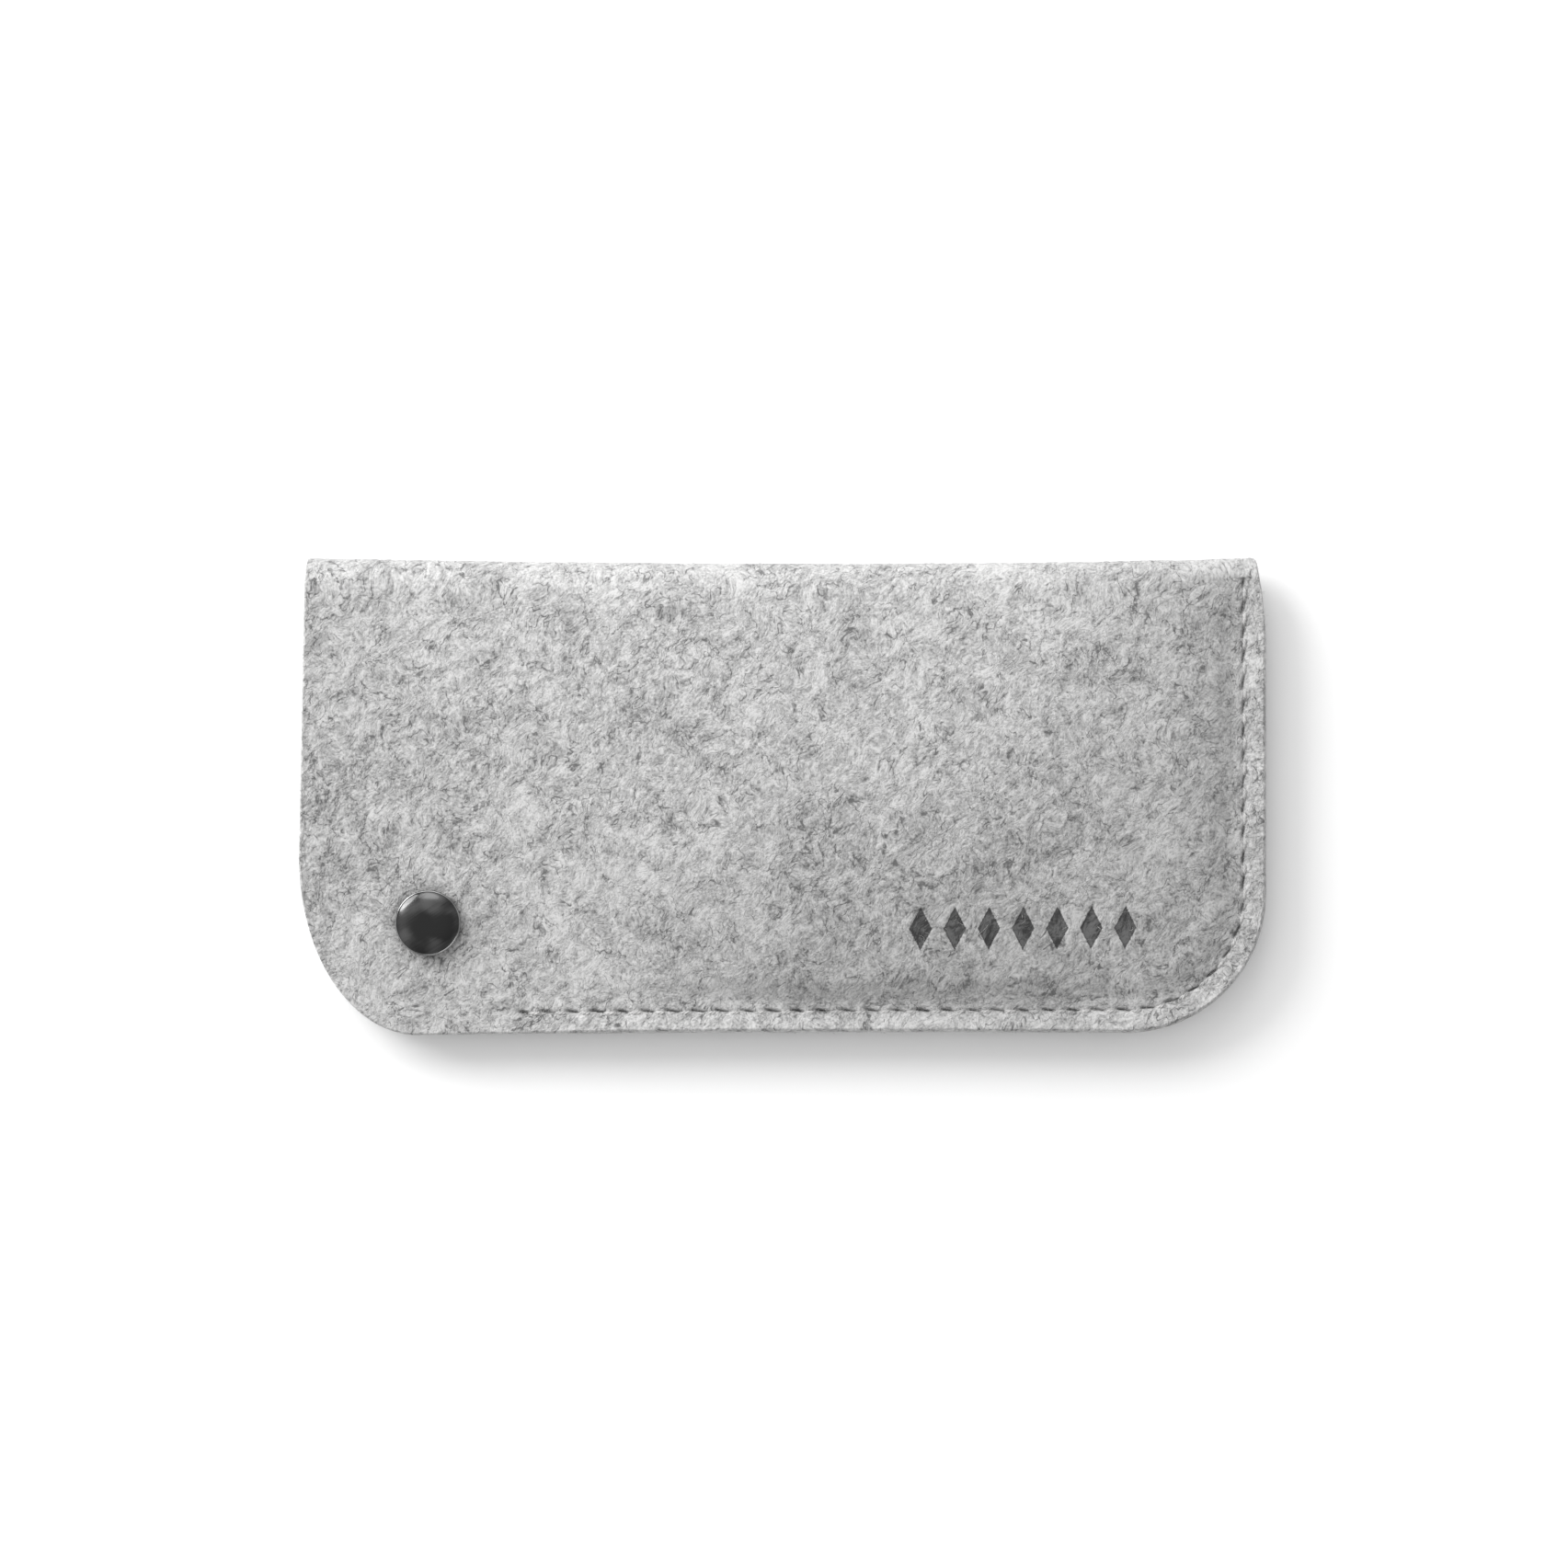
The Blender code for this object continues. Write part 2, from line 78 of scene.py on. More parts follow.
# The sheet's outline and heights
HALF_LENGTH = CAD_HIGH.x
TOTAL_HEIGHT = CAD_HIGH.z
FELT = 3.0 * MM
GAP = 0.3 * MM
FOLD_EDGE_MID = 43.3 * MM
FOLD_EDGE_RISE = 1.2 * MM
SIDE_EDGE_LEFT = -44.5 * MM
SIDE_EDGE_RIGHT = -44.0 * MM
SIDE_EDGE_BOW = 0.35 * MM
MOUTH_CORNER = (-68.0 * MM, -11.5 * MM)
MOUTH_RADII = (22.0 * MM, 33.0 * MM)
MOUTH_TAPER = 1.4 * MM
END_CORNER = (64.0 * MM, -18.0 * MM)
END_RADIUS = 26.0 * MM
END_TAPER = 2.0 * MM
END_TAPER_START = 28.5 * MM
END_TAPER_LENGTH = 16.0 * MM
SEAM_HEIGHT = 5.5 * MM
PINCH_WIDTH = 7.0 * MM
CROWN_X = 22.0 * MM
CROWN_Y = 6.0 * MM
CROWN_FULLNESS = 2.4
FOLD_DROP = 0.30
FOLD_DROP_LENGTH = 30.0 * MM
BEND_BLEND = 60.0 * MM
BACK_ROLL = 24.0 * MM
BACK_FADE = 40.0 * MM
SNAP_LIFT = 0.7 * MM
SNAP_LIFT_FLAT = 6.0 * MM
SNAP_LIFT_FADE = 14.0 * MM
FOLD_TIGHTEST = 2.1 * MM
FOLD_DEPTH_SHARE = 0.40
FOLD_MEASURED_AT = 39.5 * MM
FOLD_ROUNDNESS = 0.55
FOLD_TIP_SHARE = 0.48
FOLD_SQUEEZE = 0.25
SEAM_RADIUS = 22.0 * MM
SEAM_TOP = 40.1 * MM
SEAM_END = (-48.4 * MM, -40.4 * MM)
STITCH_COUNT = 44
SLOPE_STEP = 0.05 * MM

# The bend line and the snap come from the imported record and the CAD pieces
JOINT = frame["record"]["behaviour"]["joints"][0]
BEND_POINT = np.array(JOINT["pos_m"])
BEND_ALONG = np.array(JOINT["axis"][:2]) / np.linalg.norm(JOINT["axis"][:2])
BEND_ACROSS = np.array([BEND_ALONG[1], -BEND_ALONG[0]])
BEND_SLOPE = JOINT["axis"][2] / np.linalg.norm(JOINT["axis"][:2])
SNAP = (sum(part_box("snap_cap"), start=0 * CAD_LOW) / 2).to_2d()

# The stamped border, a row of plain lozenges
STAMP_CENTRE = (44.3 * MM, -24.0 * MM)
STAMP_COUNT = 7
STAMP_PITCH = 6.3 * MM
STAMP_HALF_WIDTH = 2.2 * MM
STAMP_HALF_HEIGHT = 4.2 * MM
STAMP_DEPTH = 0.22 * MM
STAMP_MARGIN = 0.10
STAMP_SLOPE = 0.22

# Surface detail of the felt
GRID = 0.45 * MM
SEAM_GRID = 0.25 * MM
SEAM_BAND = 8.0 * MM
INNER_EVERY = 3
EDGE_ROUND = 0.38 * MM
EDGE_REACH = 4.5 * MM
EDGE_SHARES = (0.12, 0.30, 0.55, 0.80)
EDGE_WANDER = 0.12 * MM
EDGE_DRIFT = 0.25 * MM
CHANNEL_WIDTH = 0.9 * MM
CHANNEL_DEPTH = 0.18 * MM
MOUND_WIDTH = 2.6 * CHANNEL_WIDTH
DENT_HALF_WIDTH = 0.32 * MM
DENT_HALF_LENGTH = 1.35 * MM
DENT_DEPTH = 0.80 * MM
DENT_SLANT = 0.22
DENT_OFFSET = 0.18 * MM
MOUND_HEIGHT = 0.12 * MM
LIP_SLOPE = 0.20
LIP_FADE = 14.0 * MM
GROUND_SHAVE = 0.02 * MM
LUMP_TURN = 38
LUMP_STRETCH = 1.5
LUMPS = ((14.0, 0.10), (6.0, 0.06), (2.6, 0.045), (1.3, 0.035), (0.8, 0.025))
FIELD_CELLS = 256
SHARP_ANGLE = 70
SEED = 7
FOLD_ROWS = 44
FOLD_STEP = 0.002

# Stray and cut fibres
FRONT_FIBRES = 4200
BACK_FIBRES = 1500
EDGE_FIBRES = 2600
FIBRE_MARGIN = 4
FIBRE_SINK = 0.04 * MM
FIBRE_FLOOR = 0.03 * MM

# Wool
GRAIN = 48.0
STRAND_TURNS = (-28.0, 4.0, 35.0)
NEP_SPACING = 6.5
FELT_LIGHT = 0.48
FELT_DARK = 0.105
# Painted shade: how far the felt's colour is darkened in the needle dents, where their shadow falls
DENT_PAINTED_SHADE = 0.50
INK_LIGHT = 0.115
INK_DARK = 0.026

# Thread
THREAD_RADIUS = 0.34 * MM
THREAD_STEPS = 26
THREAD_DIVE = 1.4 * MM
THREAD_DIVE_LENGTH = 1.45 * MM
THREAD_LIGHT = 0.46
THREAD_DARK = 0.30
THREAD_SWAY = 0.06 * MM
PLY_COUNT = 3
PLY_TWIST = 1.9 * MM
PLY_SIDES = 6

# Snap
CAP_RADIUS = 6.1 * MM
CAP_DROP = 1.05 * MM
CAP_DOME = 0.92
CAP_RINGS = 20
CAP_SINK = 0.25 * MM
CAP_BED = 0.18 * MM
FLANGE_BED = 0.5 * MM
SOCKET_BED = 0.6 * MM
SOCKET_BED_RADIUS = 5.3 * MM
POST_BED_RADIUS = 4.9 * MM
STUD_BED_RADIUS = 4.4 * MM
BED_FADE = 0.8 * MM
TURN_STEPS = 96
TURN_SHARP_ANGLE = 35
CORNER_STEPS = 4
SPRING_RADIUS = 2.65 * MM
SPRING_WIRE = 0.25 * MM
SPRING_OPENING = 0.12
GUNMETAL_LIGHT = 0.090
GUNMETAL_DARK = 0.016
# Colour of the painted highlight on the cap's rolled rim
GUNMETAL_RIM_HIGHLIGHT = 0.30
GUNMETAL_ROUGHNESS = (0.12, 0.24)
STEEL_LIGHT = 0.50
STEEL_DARK = 0.36
STEEL_ROUGHNESS = (0.22, 0.34)

# Studio
WINDOW_DIRECTION = (-0.55, 0.62, 0.56)
ROOM_DARK = 0.64
ROOM_LIGHT = 1.10
SOFTBOXES = (
    ("window_softbox", (-0.88, 0.72, 0.57), 0.90, 18.8),
    ("top_softbox", (-0.10, 0.60, 0.60), 0.50, 1.4),
)
FLOOR_GREY = 0.84
FLOOR_REACH = 10.0
CAMERA_DISTANCE = 0.87
CAMERA_FRAME = 0.2921
CAMERA_PLACE = (0.0002, 0.0023, 0.878)


def smooth(t):
    t = np.clip(t, 0.0, 1.0)
    return t * t * (3.0 - 2.0 * t)


def mix(a, b, t):
    return a + (b - a) * t


def unit(v):
    return v / np.linalg.norm(v, axis=-1, keepdims=True)


def points(x, y, z):
    return np.stack(np.broadcast_arrays(x, y, z), axis=-1)


# ---------------------------------------------------------------- the sheet's shape


def fold_edge(x):
    return FOLD_EDGE_MID + FOLD_EDGE_RISE * (x / HALF_LENGTH) ** 2


def side_edge(x):
    left = np.clip((MOUTH_CORNER[0] - x) / MOUTH_RADII[0], 0.0, 1.0)
    right = np.clip((x - END_CORNER[0]) / END_RADIUS, 0.0, 1.0)
    along = np.clip((x - MOUTH_CORNER[0]) / (END_CORNER[0] - MOUTH_CORNER[0]), 0.0, 1.0)
    middle = mix(SIDE_EDGE_LEFT, SIDE_EDGE_RIGHT, along) + SIDE_EDGE_BOW * np.sin(np.pi * along)
    mouth = MOUTH_CORNER[1] - MOUTH_RADII[1] * np.sqrt(1.0 - left**2)
    end = END_CORNER[1] - END_RADIUS * np.sqrt(1.0 - right**2)
    return np.where(left > 0.0, mouth, np.where(right > 0.0, end, middle))


def true_x(column, y):
    left = np.clip((y - MOUTH_CORNER[1]) / (FOLD_EDGE_MID - MOUTH_CORNER[1]), 0.0, 1.0)
    right = np.clip((y - END_TAPER_START) / END_TAPER_LENGTH, 0.0, 1.0)
    taper = np.where(column < 0.0, MOUTH_TAPER * left, END_TAPER * right**2)
    return column * (1.0 - taper / HALF_LENGTH)


def inside_seam(x, y):
    past_x, past_y = x - END_CORNER[0], END_CORNER[1] - y
    outside = np.hypot(np.maximum(past_x, 0.0), np.maximum(past_y, 0.0))
    return SEAM_RADIUS - outside - np.minimum(np.maximum(past_x, past_y), 0.0)


def bend_coordinates(x, y):
    """Distance along the bend line from its foot, and distance from it towards the front panel."""
    dx, dy = x - BEND_POINT[0], y - BEND_POINT[1]
    along = dx * BEND_ALONG[0] + dy * BEND_ALONG[1]
    return along, dx * BEND_ACROSS[0] + dy * BEND_ACROSS[1]


def fullness(x, y):
    seam_x = END_CORNER[0] + SEAM_RADIUS
    end = np.minimum((seam_x - x) / (seam_x - CROWN_X), 1.0)
    side = np.minimum((y - SEAM_END[1]) / (CROWN_Y - SEAM_END[1]), 1.0)
    beyond = np.maximum(y - CROWN_Y, 0.0) / FOLD_DROP_LENGTH
    across = 1.0 - np.maximum(1.0 - end, 0.0) ** CROWN_FULLNESS
    upward = 1.0 - np.maximum(1.0 - side, 0.0) ** CROWN_FULLNESS - FOLD_DROP * beyond**2
    return np.maximum(across, 0.0) * np.maximum(upward, 0.0) * smooth(inside_seam(x, y) / PINCH_WIDTH)


def front_height(x, y):
    along, across = bend_coordinates(x, y)
    seam = SEAM_HEIGHT + GAP / 2 + FELT / 2
    flap = seam + BEND_SLOPE * np.maximum(along, 0.0)
    puffed = seam + (TOTAL_HEIGHT - FELT / 2 - seam) * fullness(x, y)
    return mix(flap, puffed, smooth(across / BEND_BLEND))


def back_height(x, y):
    seam = SEAM_HEIGHT - GAP / 2 - FELT / 2
    roll = 1.0 - smooth(inside_seam(x, y) / BACK_ROLL)
    fade = smooth((x + HALF_LENGTH) / BACK_FADE)
    from_snap = np.hypot(x - SNAP.x, y - SNAP.y)
    at_snap = 1.0 - smooth((from_snap - SNAP_LIFT_FLAT) / SNAP_LIFT_FADE)
    return FELT / 2 + (seam - FELT / 2) * roll * fade + SNAP_LIFT * at_snap


def surface_normal(height, x, y):
    step = SLOPE_STEP
    slope_x = (height(x + step, y) - height(x - step, y)) / (2 * step)
    slope_y = (height(x, y + step) - height(x, y - step)) / (2 * step)
    return unit(points(-slope_x, -slope_y, np.ones_like(x)))


def split_y(x):
    """Where the fold ends and the front panel starts."""
    height = front_height(x, FOLD_MEASURED_AT) - back_height(x, FOLD_MEASURED_AT)
    depth = FELT / 2 + FOLD_TIGHTEST + FOLD_DEPTH_SHARE * (height - FELT - GAP)
    return fold_edge(x) - depth


def bezier(a, b, c, d, t):
    s = 1.0 - t
    return a * s**3 + b * (3 * s * s * t) + c * (3 * s * t * t) + d * t**3


def fold_points(column, t):
    """Middle of the felt round the fold, from the front (t=0) to the back panel (t=2)."""
    tip_y, near_y = fold_edge(column) - FELT / 2, split_y(column)
    near_x = true_x(column, near_y)
    top_z, low_z = front_height(near_x, near_y), back_height(near_x, near_y)
    tip_z = mix(low_z, top_z, FOLD_TIP_SHARE)
    step = SLOPE_STEP
    slope = (front_height(near_x, near_y + step) - front_height(near_x, near_y - step)) / (2 * step)
    reach = FOLD_ROUNDNESS * (tip_y - near_y)
    over, under = np.minimum(t, 1.0), np.maximum(t - 1.0, 0.0)
    upper_y = bezier(near_y, near_y + reach, tip_y, tip_y, over)
    upper_z = bezier(top_z, top_z + reach * slope, mix(tip_z, top_z, FOLD_ROUNDNESS), tip_z, over)
    lower_y = bezier(tip_y, tip_y, near_y + reach, near_y, under)
    lower_z = bezier(tip_z, mix(tip_z, low_z, FOLD_ROUNDNESS), low_z, low_z, under)
    y = np.where(t <= 1.0, upper_y, lower_y)
    return points(true_x(column, y), y, np.where(t <= 1.0, upper_z, lower_z))


def column_places():
    quarter_mouth = np.linspace(0.0, np.pi / 2, round(MOUTH_RADII[1] * 1.3 / GRID))
    quarter_end = np.linspace(0.0, np.pi / 2, round(END_RADIUS * 1.571 / GRID))
    mouth = MOUTH_CORNER[0] - MOUTH_RADII[0] * np.cos(quarter_mouth)
    end = END_CORNER[0] + END_RADIUS * np.sin(quarter_end)
    between = np.linspace(mouth[-1], end[0], round((end[0] - mouth[-1]) / GRID))
    return np.concatenate((mouth, between[1:-1], end))


def row_shares():
    """Shares of a column from the fold (1) to the sewn edge (0), closer together near that edge."""
    width = FOLD_EDGE_MID - SIDE_EDGE_LEFT
    fine = np.arange(0.0, SEAM_BAND, SEAM_GRID) / width
    coarse = np.linspace(fine[-1], 1.0, round((width - SEAM_BAND) / GRID))
    return np.concatenate((fine, coarse[1:]))[::-1]


# ---------------------------------------------------------------- surface relief


def field(u, v, size, seed):
    """Smooth random field from -1 to 1 with features of one size."""
    cells = FIELD_CELLS
    grid = np.random.default_rng(seed).uniform(-1.0, 1.0, (cells, cells))
    a, b = u / size + cells / 2, v / size + cells / 2
    i, j = np.floor(a).astype(int), np.floor(b).astype(int)
    s, t = smooth(a - i), smooth(b - j)
    i0, j0, i1, j1 = i % cells, j % cells, (i + 1) % cells, (j + 1) % cells
    low = mix(grid[i0, j0], grid[i1, j0], s)
    high = mix(grid[i0, j1], grid[i1, j1], s)
    return mix(low, high, t)


def felt_relief(u, v):
    """Lumps of matted wool, along the sheet's grain."""
    turn = math.radians(LUMP_TURN)
    a = u * math.cos(turn) + v * math.sin(turn)
    b = v * math.cos(turn) - u * math.sin(turn)
    total = np.zeros_like(u)
    for k, (size, depth) in enumerate(LUMPS):
        total += depth * MM * field(a / LUMP_STRETCH, b, size * MM, SEED + k)
    return total


def seam_runs():
    """Lengths of the stitch line's end, corner and side runs, then the side run's start and direction."""
    low = np.array((END_CORNER[0], END_CORNER[1] - SEAM_RADIUS))
    side = np.array(SEAM_END) - low
    length = np.linalg.norm(side)
    return SEAM_TOP - END_CORNER[1], SEAM_RADIUS * math.pi / 2, length, low, side / length


def seam_coordinates(x, y):
    """Distance along the stitch line from its start, and distance outward from it."""
    end, corner, _, low, side = seam_runs()
    dx, dy = x - END_CORNER[0], y - END_CORNER[1]
    along_side = (x - low[0]) * side[0] + (y - low[1]) * side[1]
    off_side = (y - low[1]) * side[0] - (x - low[0]) * side[1]
    on_end, on_corner = dy >= 0.0, (dy < 0.0) & (dx > 0.0)
    angle = np.arctan2(-dy, dx)
    along = np.where(on_corner, end + angle * SEAM_RADIUS, end + corner + along_side)
    outward = np.where(on_corner, np.hypot(dx, dy) - SEAM_RADIUS, off_side)
    return np.where(on_end, SEAM_TOP - y, along), np.where(on_end, dx - SEAM_RADIUS, outward)


def seam_length():
    end, corner, side_length, _, _ = seam_runs()
    return end + corner + side_length


def seam_place(s):
    """Point on the stitch line at distance s."""
    end, corner, _, _, side = seam_runs()
    angle = np.clip((s - end) / SEAM_RADIUS, 0.0, math.pi / 2)
    rest = np.maximum(s - end - corner, 0.0)
    x = END_CORNER[0] + SEAM_RADIUS * np.cos(angle) + side[0] * rest
    y = np.where(s < end, SEAM_TOP - s, END_CORNER[1] - SEAM_RADIUS * np.sin(angle) + side[1] * rest)
    return x, y


def from_hole(s):
    """Distance to the nearest needle hole."""
    pitch = seam_length() / STITCH_COUNT
    return (s / pitch - np.round(s / pitch)) * pitch


def seam_marks(x, y):
    """What the stitches do to the felt's face: how far it is drawn down, and how much painted shade darkens
    it in the needle dents.
    """
    s, d = seam_coordinates(x, y)
    hole = from_hole(s)
    uneven = 1.0 + 0.35 * field(s, s * 0, 5.0 * MM, SEED + 12)
    within = smooth((s + DENT_HALF_LENGTH) / DENT_HALF_LENGTH)
    within = within * smooth((seam_length() + DENT_HALF_LENGTH - s) / DENT_HALF_LENGTH)
    slanted = d + DENT_SLANT * hole + DENT_OFFSET
    dent_and_painted_shade = np.exp(-((slanted / DENT_HALF_WIDTH) ** 2) - (hole / DENT_HALF_LENGTH) ** 4) * uneven
    channel = np.exp(-((d / CHANNEL_WIDTH) ** 2))
    wave = np.cos(2 * np.pi * hole * STITCH_COUNT / seam_length())
    mound = np.exp(-((d / MOUND_WIDTH) ** 2)) * wave
    drawn = CHANNEL_DEPTH * channel + DENT_DEPTH * dent_and_painted_shade + MOUND_HEIGHT * mound
    return within * drawn, within * dent_and_painted_shade


def lip(x, y):
    """How far the loose edge beyond the stitches stands off, because the pinched seam splays it."""
    s, d = seam_coordinates(x, y)
    sewn = smooth(s / LIP_FADE) * smooth((seam_length() - s) / LIP_FADE)
    return LIP_SLOPE * np.maximum(d, 0.0) * sewn


def lipped_front(x, y):
    return front_height(x, y) + lip(x, y)


def lipped_back(x, y):
    return back_height(x, y) - lip(x, y)


def snap_sink(x, y, radius, depth):
    """The bed that a flange of the snap presses into the felt."""
    return depth * (1.0 - smooth((np.hypot(x - SNAP.x, y - SNAP.y) - radius) / BED_FADE))


def stamp_sink(x, y):
    """How far the stamp has pressed the lozenges into the felt."""
    dx, dy = x - STAMP_CENTRE[0], y - STAMP_CENTRE[1]
    cell = np.clip(np.round(dx / STAMP_PITCH), -(STAMP_COUNT // 2), STAMP_COUNT // 2)
    inside = 1.0 - np.abs(dx - cell * STAMP_PITCH) / STAMP_HALF_WIDTH - np.abs(dy) / STAMP_HALF_HEIGHT
    return STAMP_DEPTH * smooth((inside + STAMP_MARGIN) / STAMP_SLOPE)


# ---------------------------------------------------------------- mesh tools


def face_outward(mesh):
    """Turn the faces of a closed mesh outward."""
    solid = bmesh.new()
    solid.from_mesh(mesh)
    if solid.calc_volume(signed=True) < 0.0:
        mesh.flip_normals()
    solid.free()


def new_object(name, verts, faces, finish, angle=None):
    mesh = bpy.data.meshes.new(name)
    mesh.from_pydata(verts.reshape(-1, 3).tolist() if isinstance(verts, np.ndarray) else verts, [], faces)
    face_outward(mesh)
    mesh.materials.append(finish)
    mesh.shade_smooth()
    if angle:
        mesh.set_sharp_from_angle(angle=math.radians(angle))
    made = bpy.data.objects.new(name, mesh)
    bpy.context.scene.collection.objects.link(made)
    return made


def store_vectors(obj, name, values):
    attribute = obj.data.attributes.new(name, "FLOAT_VECTOR", "POINT")
    attribute.data.foreach_set("vector", values.astype(np.float32).ravel())


def store_numbers(obj, name, values):
    """One number for each of the first vertices, and 0 for the rest."""
    attribute = obj.data.attributes.new(name, "FLOAT", "POINT")
    every_vertex = np.zeros(len(obj.data.vertices), np.float32)
    every_vertex[: values.size] = values.ravel()
    attribute.data.foreach_set("value", every_vertex)


def grid_faces(rows, across, start=0):
    index = np.arange(rows * across).reshape(rows, across) + start
    quads = (index[:-1, :-1], index[:-1, 1:], index[1:, 1:], index[1:, :-1])
    return np.stack(quads, axis=-1).reshape(-1, 4)


def border(rows, across):
    """Grid places round the edge, in order."""
    loop = [(0, j) for j in range(across)] + [(i, across - 1) for i in range(1, rows)]
    loop += [(rows - 1, j) for j in range(across - 2, -1, -1)]
    return loop + [(i, 0) for i in range(rows - 2, 0, -1)]


def every(count, step):
    return sorted(set(range(0, count, step)) | {count - 1})


def drawn_in(middle, normal):
    """How far the rounded cut edge draws each grid point in. The first row has no cut edge."""
    column = column_places()
    left = np.clip(1.0 - (column + HALF_LENGTH) / EDGE_REACH, 0.0, 1.0)
    right = np.clip(1.0 - (HALF_LENGTH - column) / EDGE_REACH, 0.0, 1.0)
    down = np.linalg.norm(np.diff(middle, axis=0), axis=-1)
    from_top = np.pad(np.cumsum(down, axis=0), ((1, 0), (0, 0)))
    low = np.clip(1.0 - (from_top[-1] - from_top) / EDGE_REACH, 0.0, 1.0) * (1.0 - left - right)
    along = unit(np.array((1.0, 0.0, 0.0)) - normal * normal[..., :1])
    upward = -unit(np.gradient(middle, axis=0))
    x, y, z = np.moveaxis(middle, -1, 0)
    rounding = EDGE_ROUND + EDGE_WANDER * field(x + z, y, 1.1 * MM, SEED + 20)
    rounding += EDGE_WANDER / 2 * field(x, y + z, 0.5 * MM, SEED + 21)
    return ((left - right)[:, None] * along + low[..., None] * upward) * rounding[..., None]


def felt_sheet(name, middle, normal, rise, depth, flat, finish):
    """Closed felt mesh: a fine outer face, a coarser inner face and a rounded cut edge between them.

    rise and depth are the two faces' distances from the middle. flat holds each point's place on the
    uncut sheet. The first row is where the other piece continues.
    """
    rows, across = middle.shape[:2]
    loop = border(rows, across)
    ring = tuple(np.array(loop).T)
    inward = drawn_in(middle, normal)
    outer = middle + normal * rise[..., None] + inward
    inner = middle - normal * depth[..., None] + inward
    kept_rows, kept_columns = every(rows, INNER_EVERY), every(across, INNER_EVERY)
    kept = np.ix_(kept_rows, kept_columns)

    verts = [outer.reshape(-1, 3)]
    places = [points(flat[..., 0], flat[..., 1], rise).reshape(-1, 3)]
    for share in EDGE_SHARES:
        level = mix(rise[ring], -depth[ring], share)
        bulge = 1.0 - math.sqrt(1.0 - (2.0 * share - 1.0) ** 2)
        verts.append(middle[ring] + normal[ring] * level[:, None] + inward[ring] * bulge)
        places.append(points(flat[ring][:, 0], flat[ring][:, 1], level))
    verts.append(inner[kept].reshape(-1, 3))
    places.append(points(flat[kept][..., 0], flat[kept][..., 1], -depth[kept]).reshape(-1, 3))

    length = len(loop)
    first_ring = rows * across
    first_inner = first_ring + length * len(EDGE_SHARES)
    faces = grid_faces(rows, across).tolist()
    faces += grid_faces(len(kept_rows), len(kept_columns), first_inner)[:, ::-1].tolist()
    rings = [[i * across + j for i, j in loop]]
    rings += [list(range(start, start + length)) for start in range(first_ring, first_inner, length)]
    for high, low in zip(rings, rings[1:]):
        for a in range(length):
            b = (a + 1) % length
            faces.append([high[b], high[a], low[a], low[b]])
    row_at = {row: k for k, row in enumerate(kept_rows)}
    column_at = {column: k for k, column in enumerate(kept_columns)}
    stops = [a for a, (i, j) in enumerate(loop) if i in row_at and j in column_at]
    for a, b in zip(stops, stops[1:] + [length]):
        run = [rings[-1][k % length] for k in range(b, a - 1, -1)]
        for i, j in (loop[a], loop[b % length]):
            run.append(first_inner + row_at[i] * len(kept_columns) + column_at[j])
        faces.append(run)
    made = new_object(name, np.concatenate(verts), faces, finish, SHARP_ANGLE)
    store_vectors(made, "sheet_place", np.concatenate(places))
    return made, outer


def turned(name, profile, finish):
    """Solid turned round the snap's axis. Its profile is closed, or starts and ends on the axis."""
    steps = TURN_STEPS
    closed = profile[0][0] > 0.0
    turns = np.arange(steps) / steps * 2 * np.pi
    verts, rings = [], []
    for radius, height in profile:
        start = len(verts)
        if radius <= 0.0:
            verts.append((SNAP.x, SNAP.y, height))
            rings.append([start] * steps)
            continue
        verts += [(SNAP.x + radius * math.cos(a), SNAP.y + radius * math.sin(a), height) for a in turns]
        rings.append(list(range(start, start + steps)))
    faces = []
    pairs = list(zip(rings, rings[1:])) + ([(rings[-1], rings[0])] if closed else [])
    for low, high in pairs:
        for a in range(steps):
            b = (a + 1) % steps
            face = list(dict.fromkeys((low[a], low[b], high[b], high[a])))
            if len(face) > 2:
                faces.append(face)
    return new_object(name, verts, faces, finish, TURN_SHARP_ANGLE)


def rounded(profile, radius):
    """The same profile with its corners rounded. Points on the axis stay."""
    out = []
    count = len(profile)
    for k, (r, z) in enumerate(profile):
        here = np.array((r, z))
        if r <= 0.0:
            out.append((r, z))
            continue
        before = np.array(profile[k - 1]) - here
        after = np.array(profile[(k + 1) % count]) - here
        size_before, size_after = np.linalg.norm(before), np.linalg.norm(after)
        reach = min(radius, 0.45 * size_before, 0.45 * size_after)
        a, b = here + before / size_before * reach, here + after / size_after * reach
        for t in np.linspace(0.0, 1.0, CORNER_STEPS + 1):
            p = a * (1 - t) ** 2 + here * (2 * t * (1 - t)) + b * t**2
            out.append((float(p[0]), float(p[1])))
    return out


def tube(path, radius, sides, guide):
    """Verts and faces of a closed tube. radius may differ along the path."""
    tangent = unit(np.gradient(path, axis=0))
    side = unit(np.cross(tangent, guide))
    lift = np.cross(side, tangent)
    turns = np.arange(sides) / sides * 2 * np.pi
    radius = np.broadcast_to(radius, len(path))
    ring = side[:, None] * np.cos(turns)[:, None] + lift[:, None] * np.sin(turns)[:, None]
    verts = (path[:, None] + ring * radius[:, None, None]).reshape(-1, 3)
    faces = []
    for k in range(len(path) - 1):
        for a in range(sides):
            b = (a + 1) % sides
            faces.append([k * sides + a, k * sides + b, (k + 1) * sides + b, (k + 1) * sides + a])
    faces.append(list(range(sides))[::-1])
    faces.append([(len(path) - 1) * sides + a for a in range(sides)])
    return verts, faces


# ---------------------------------------------------------------- materials


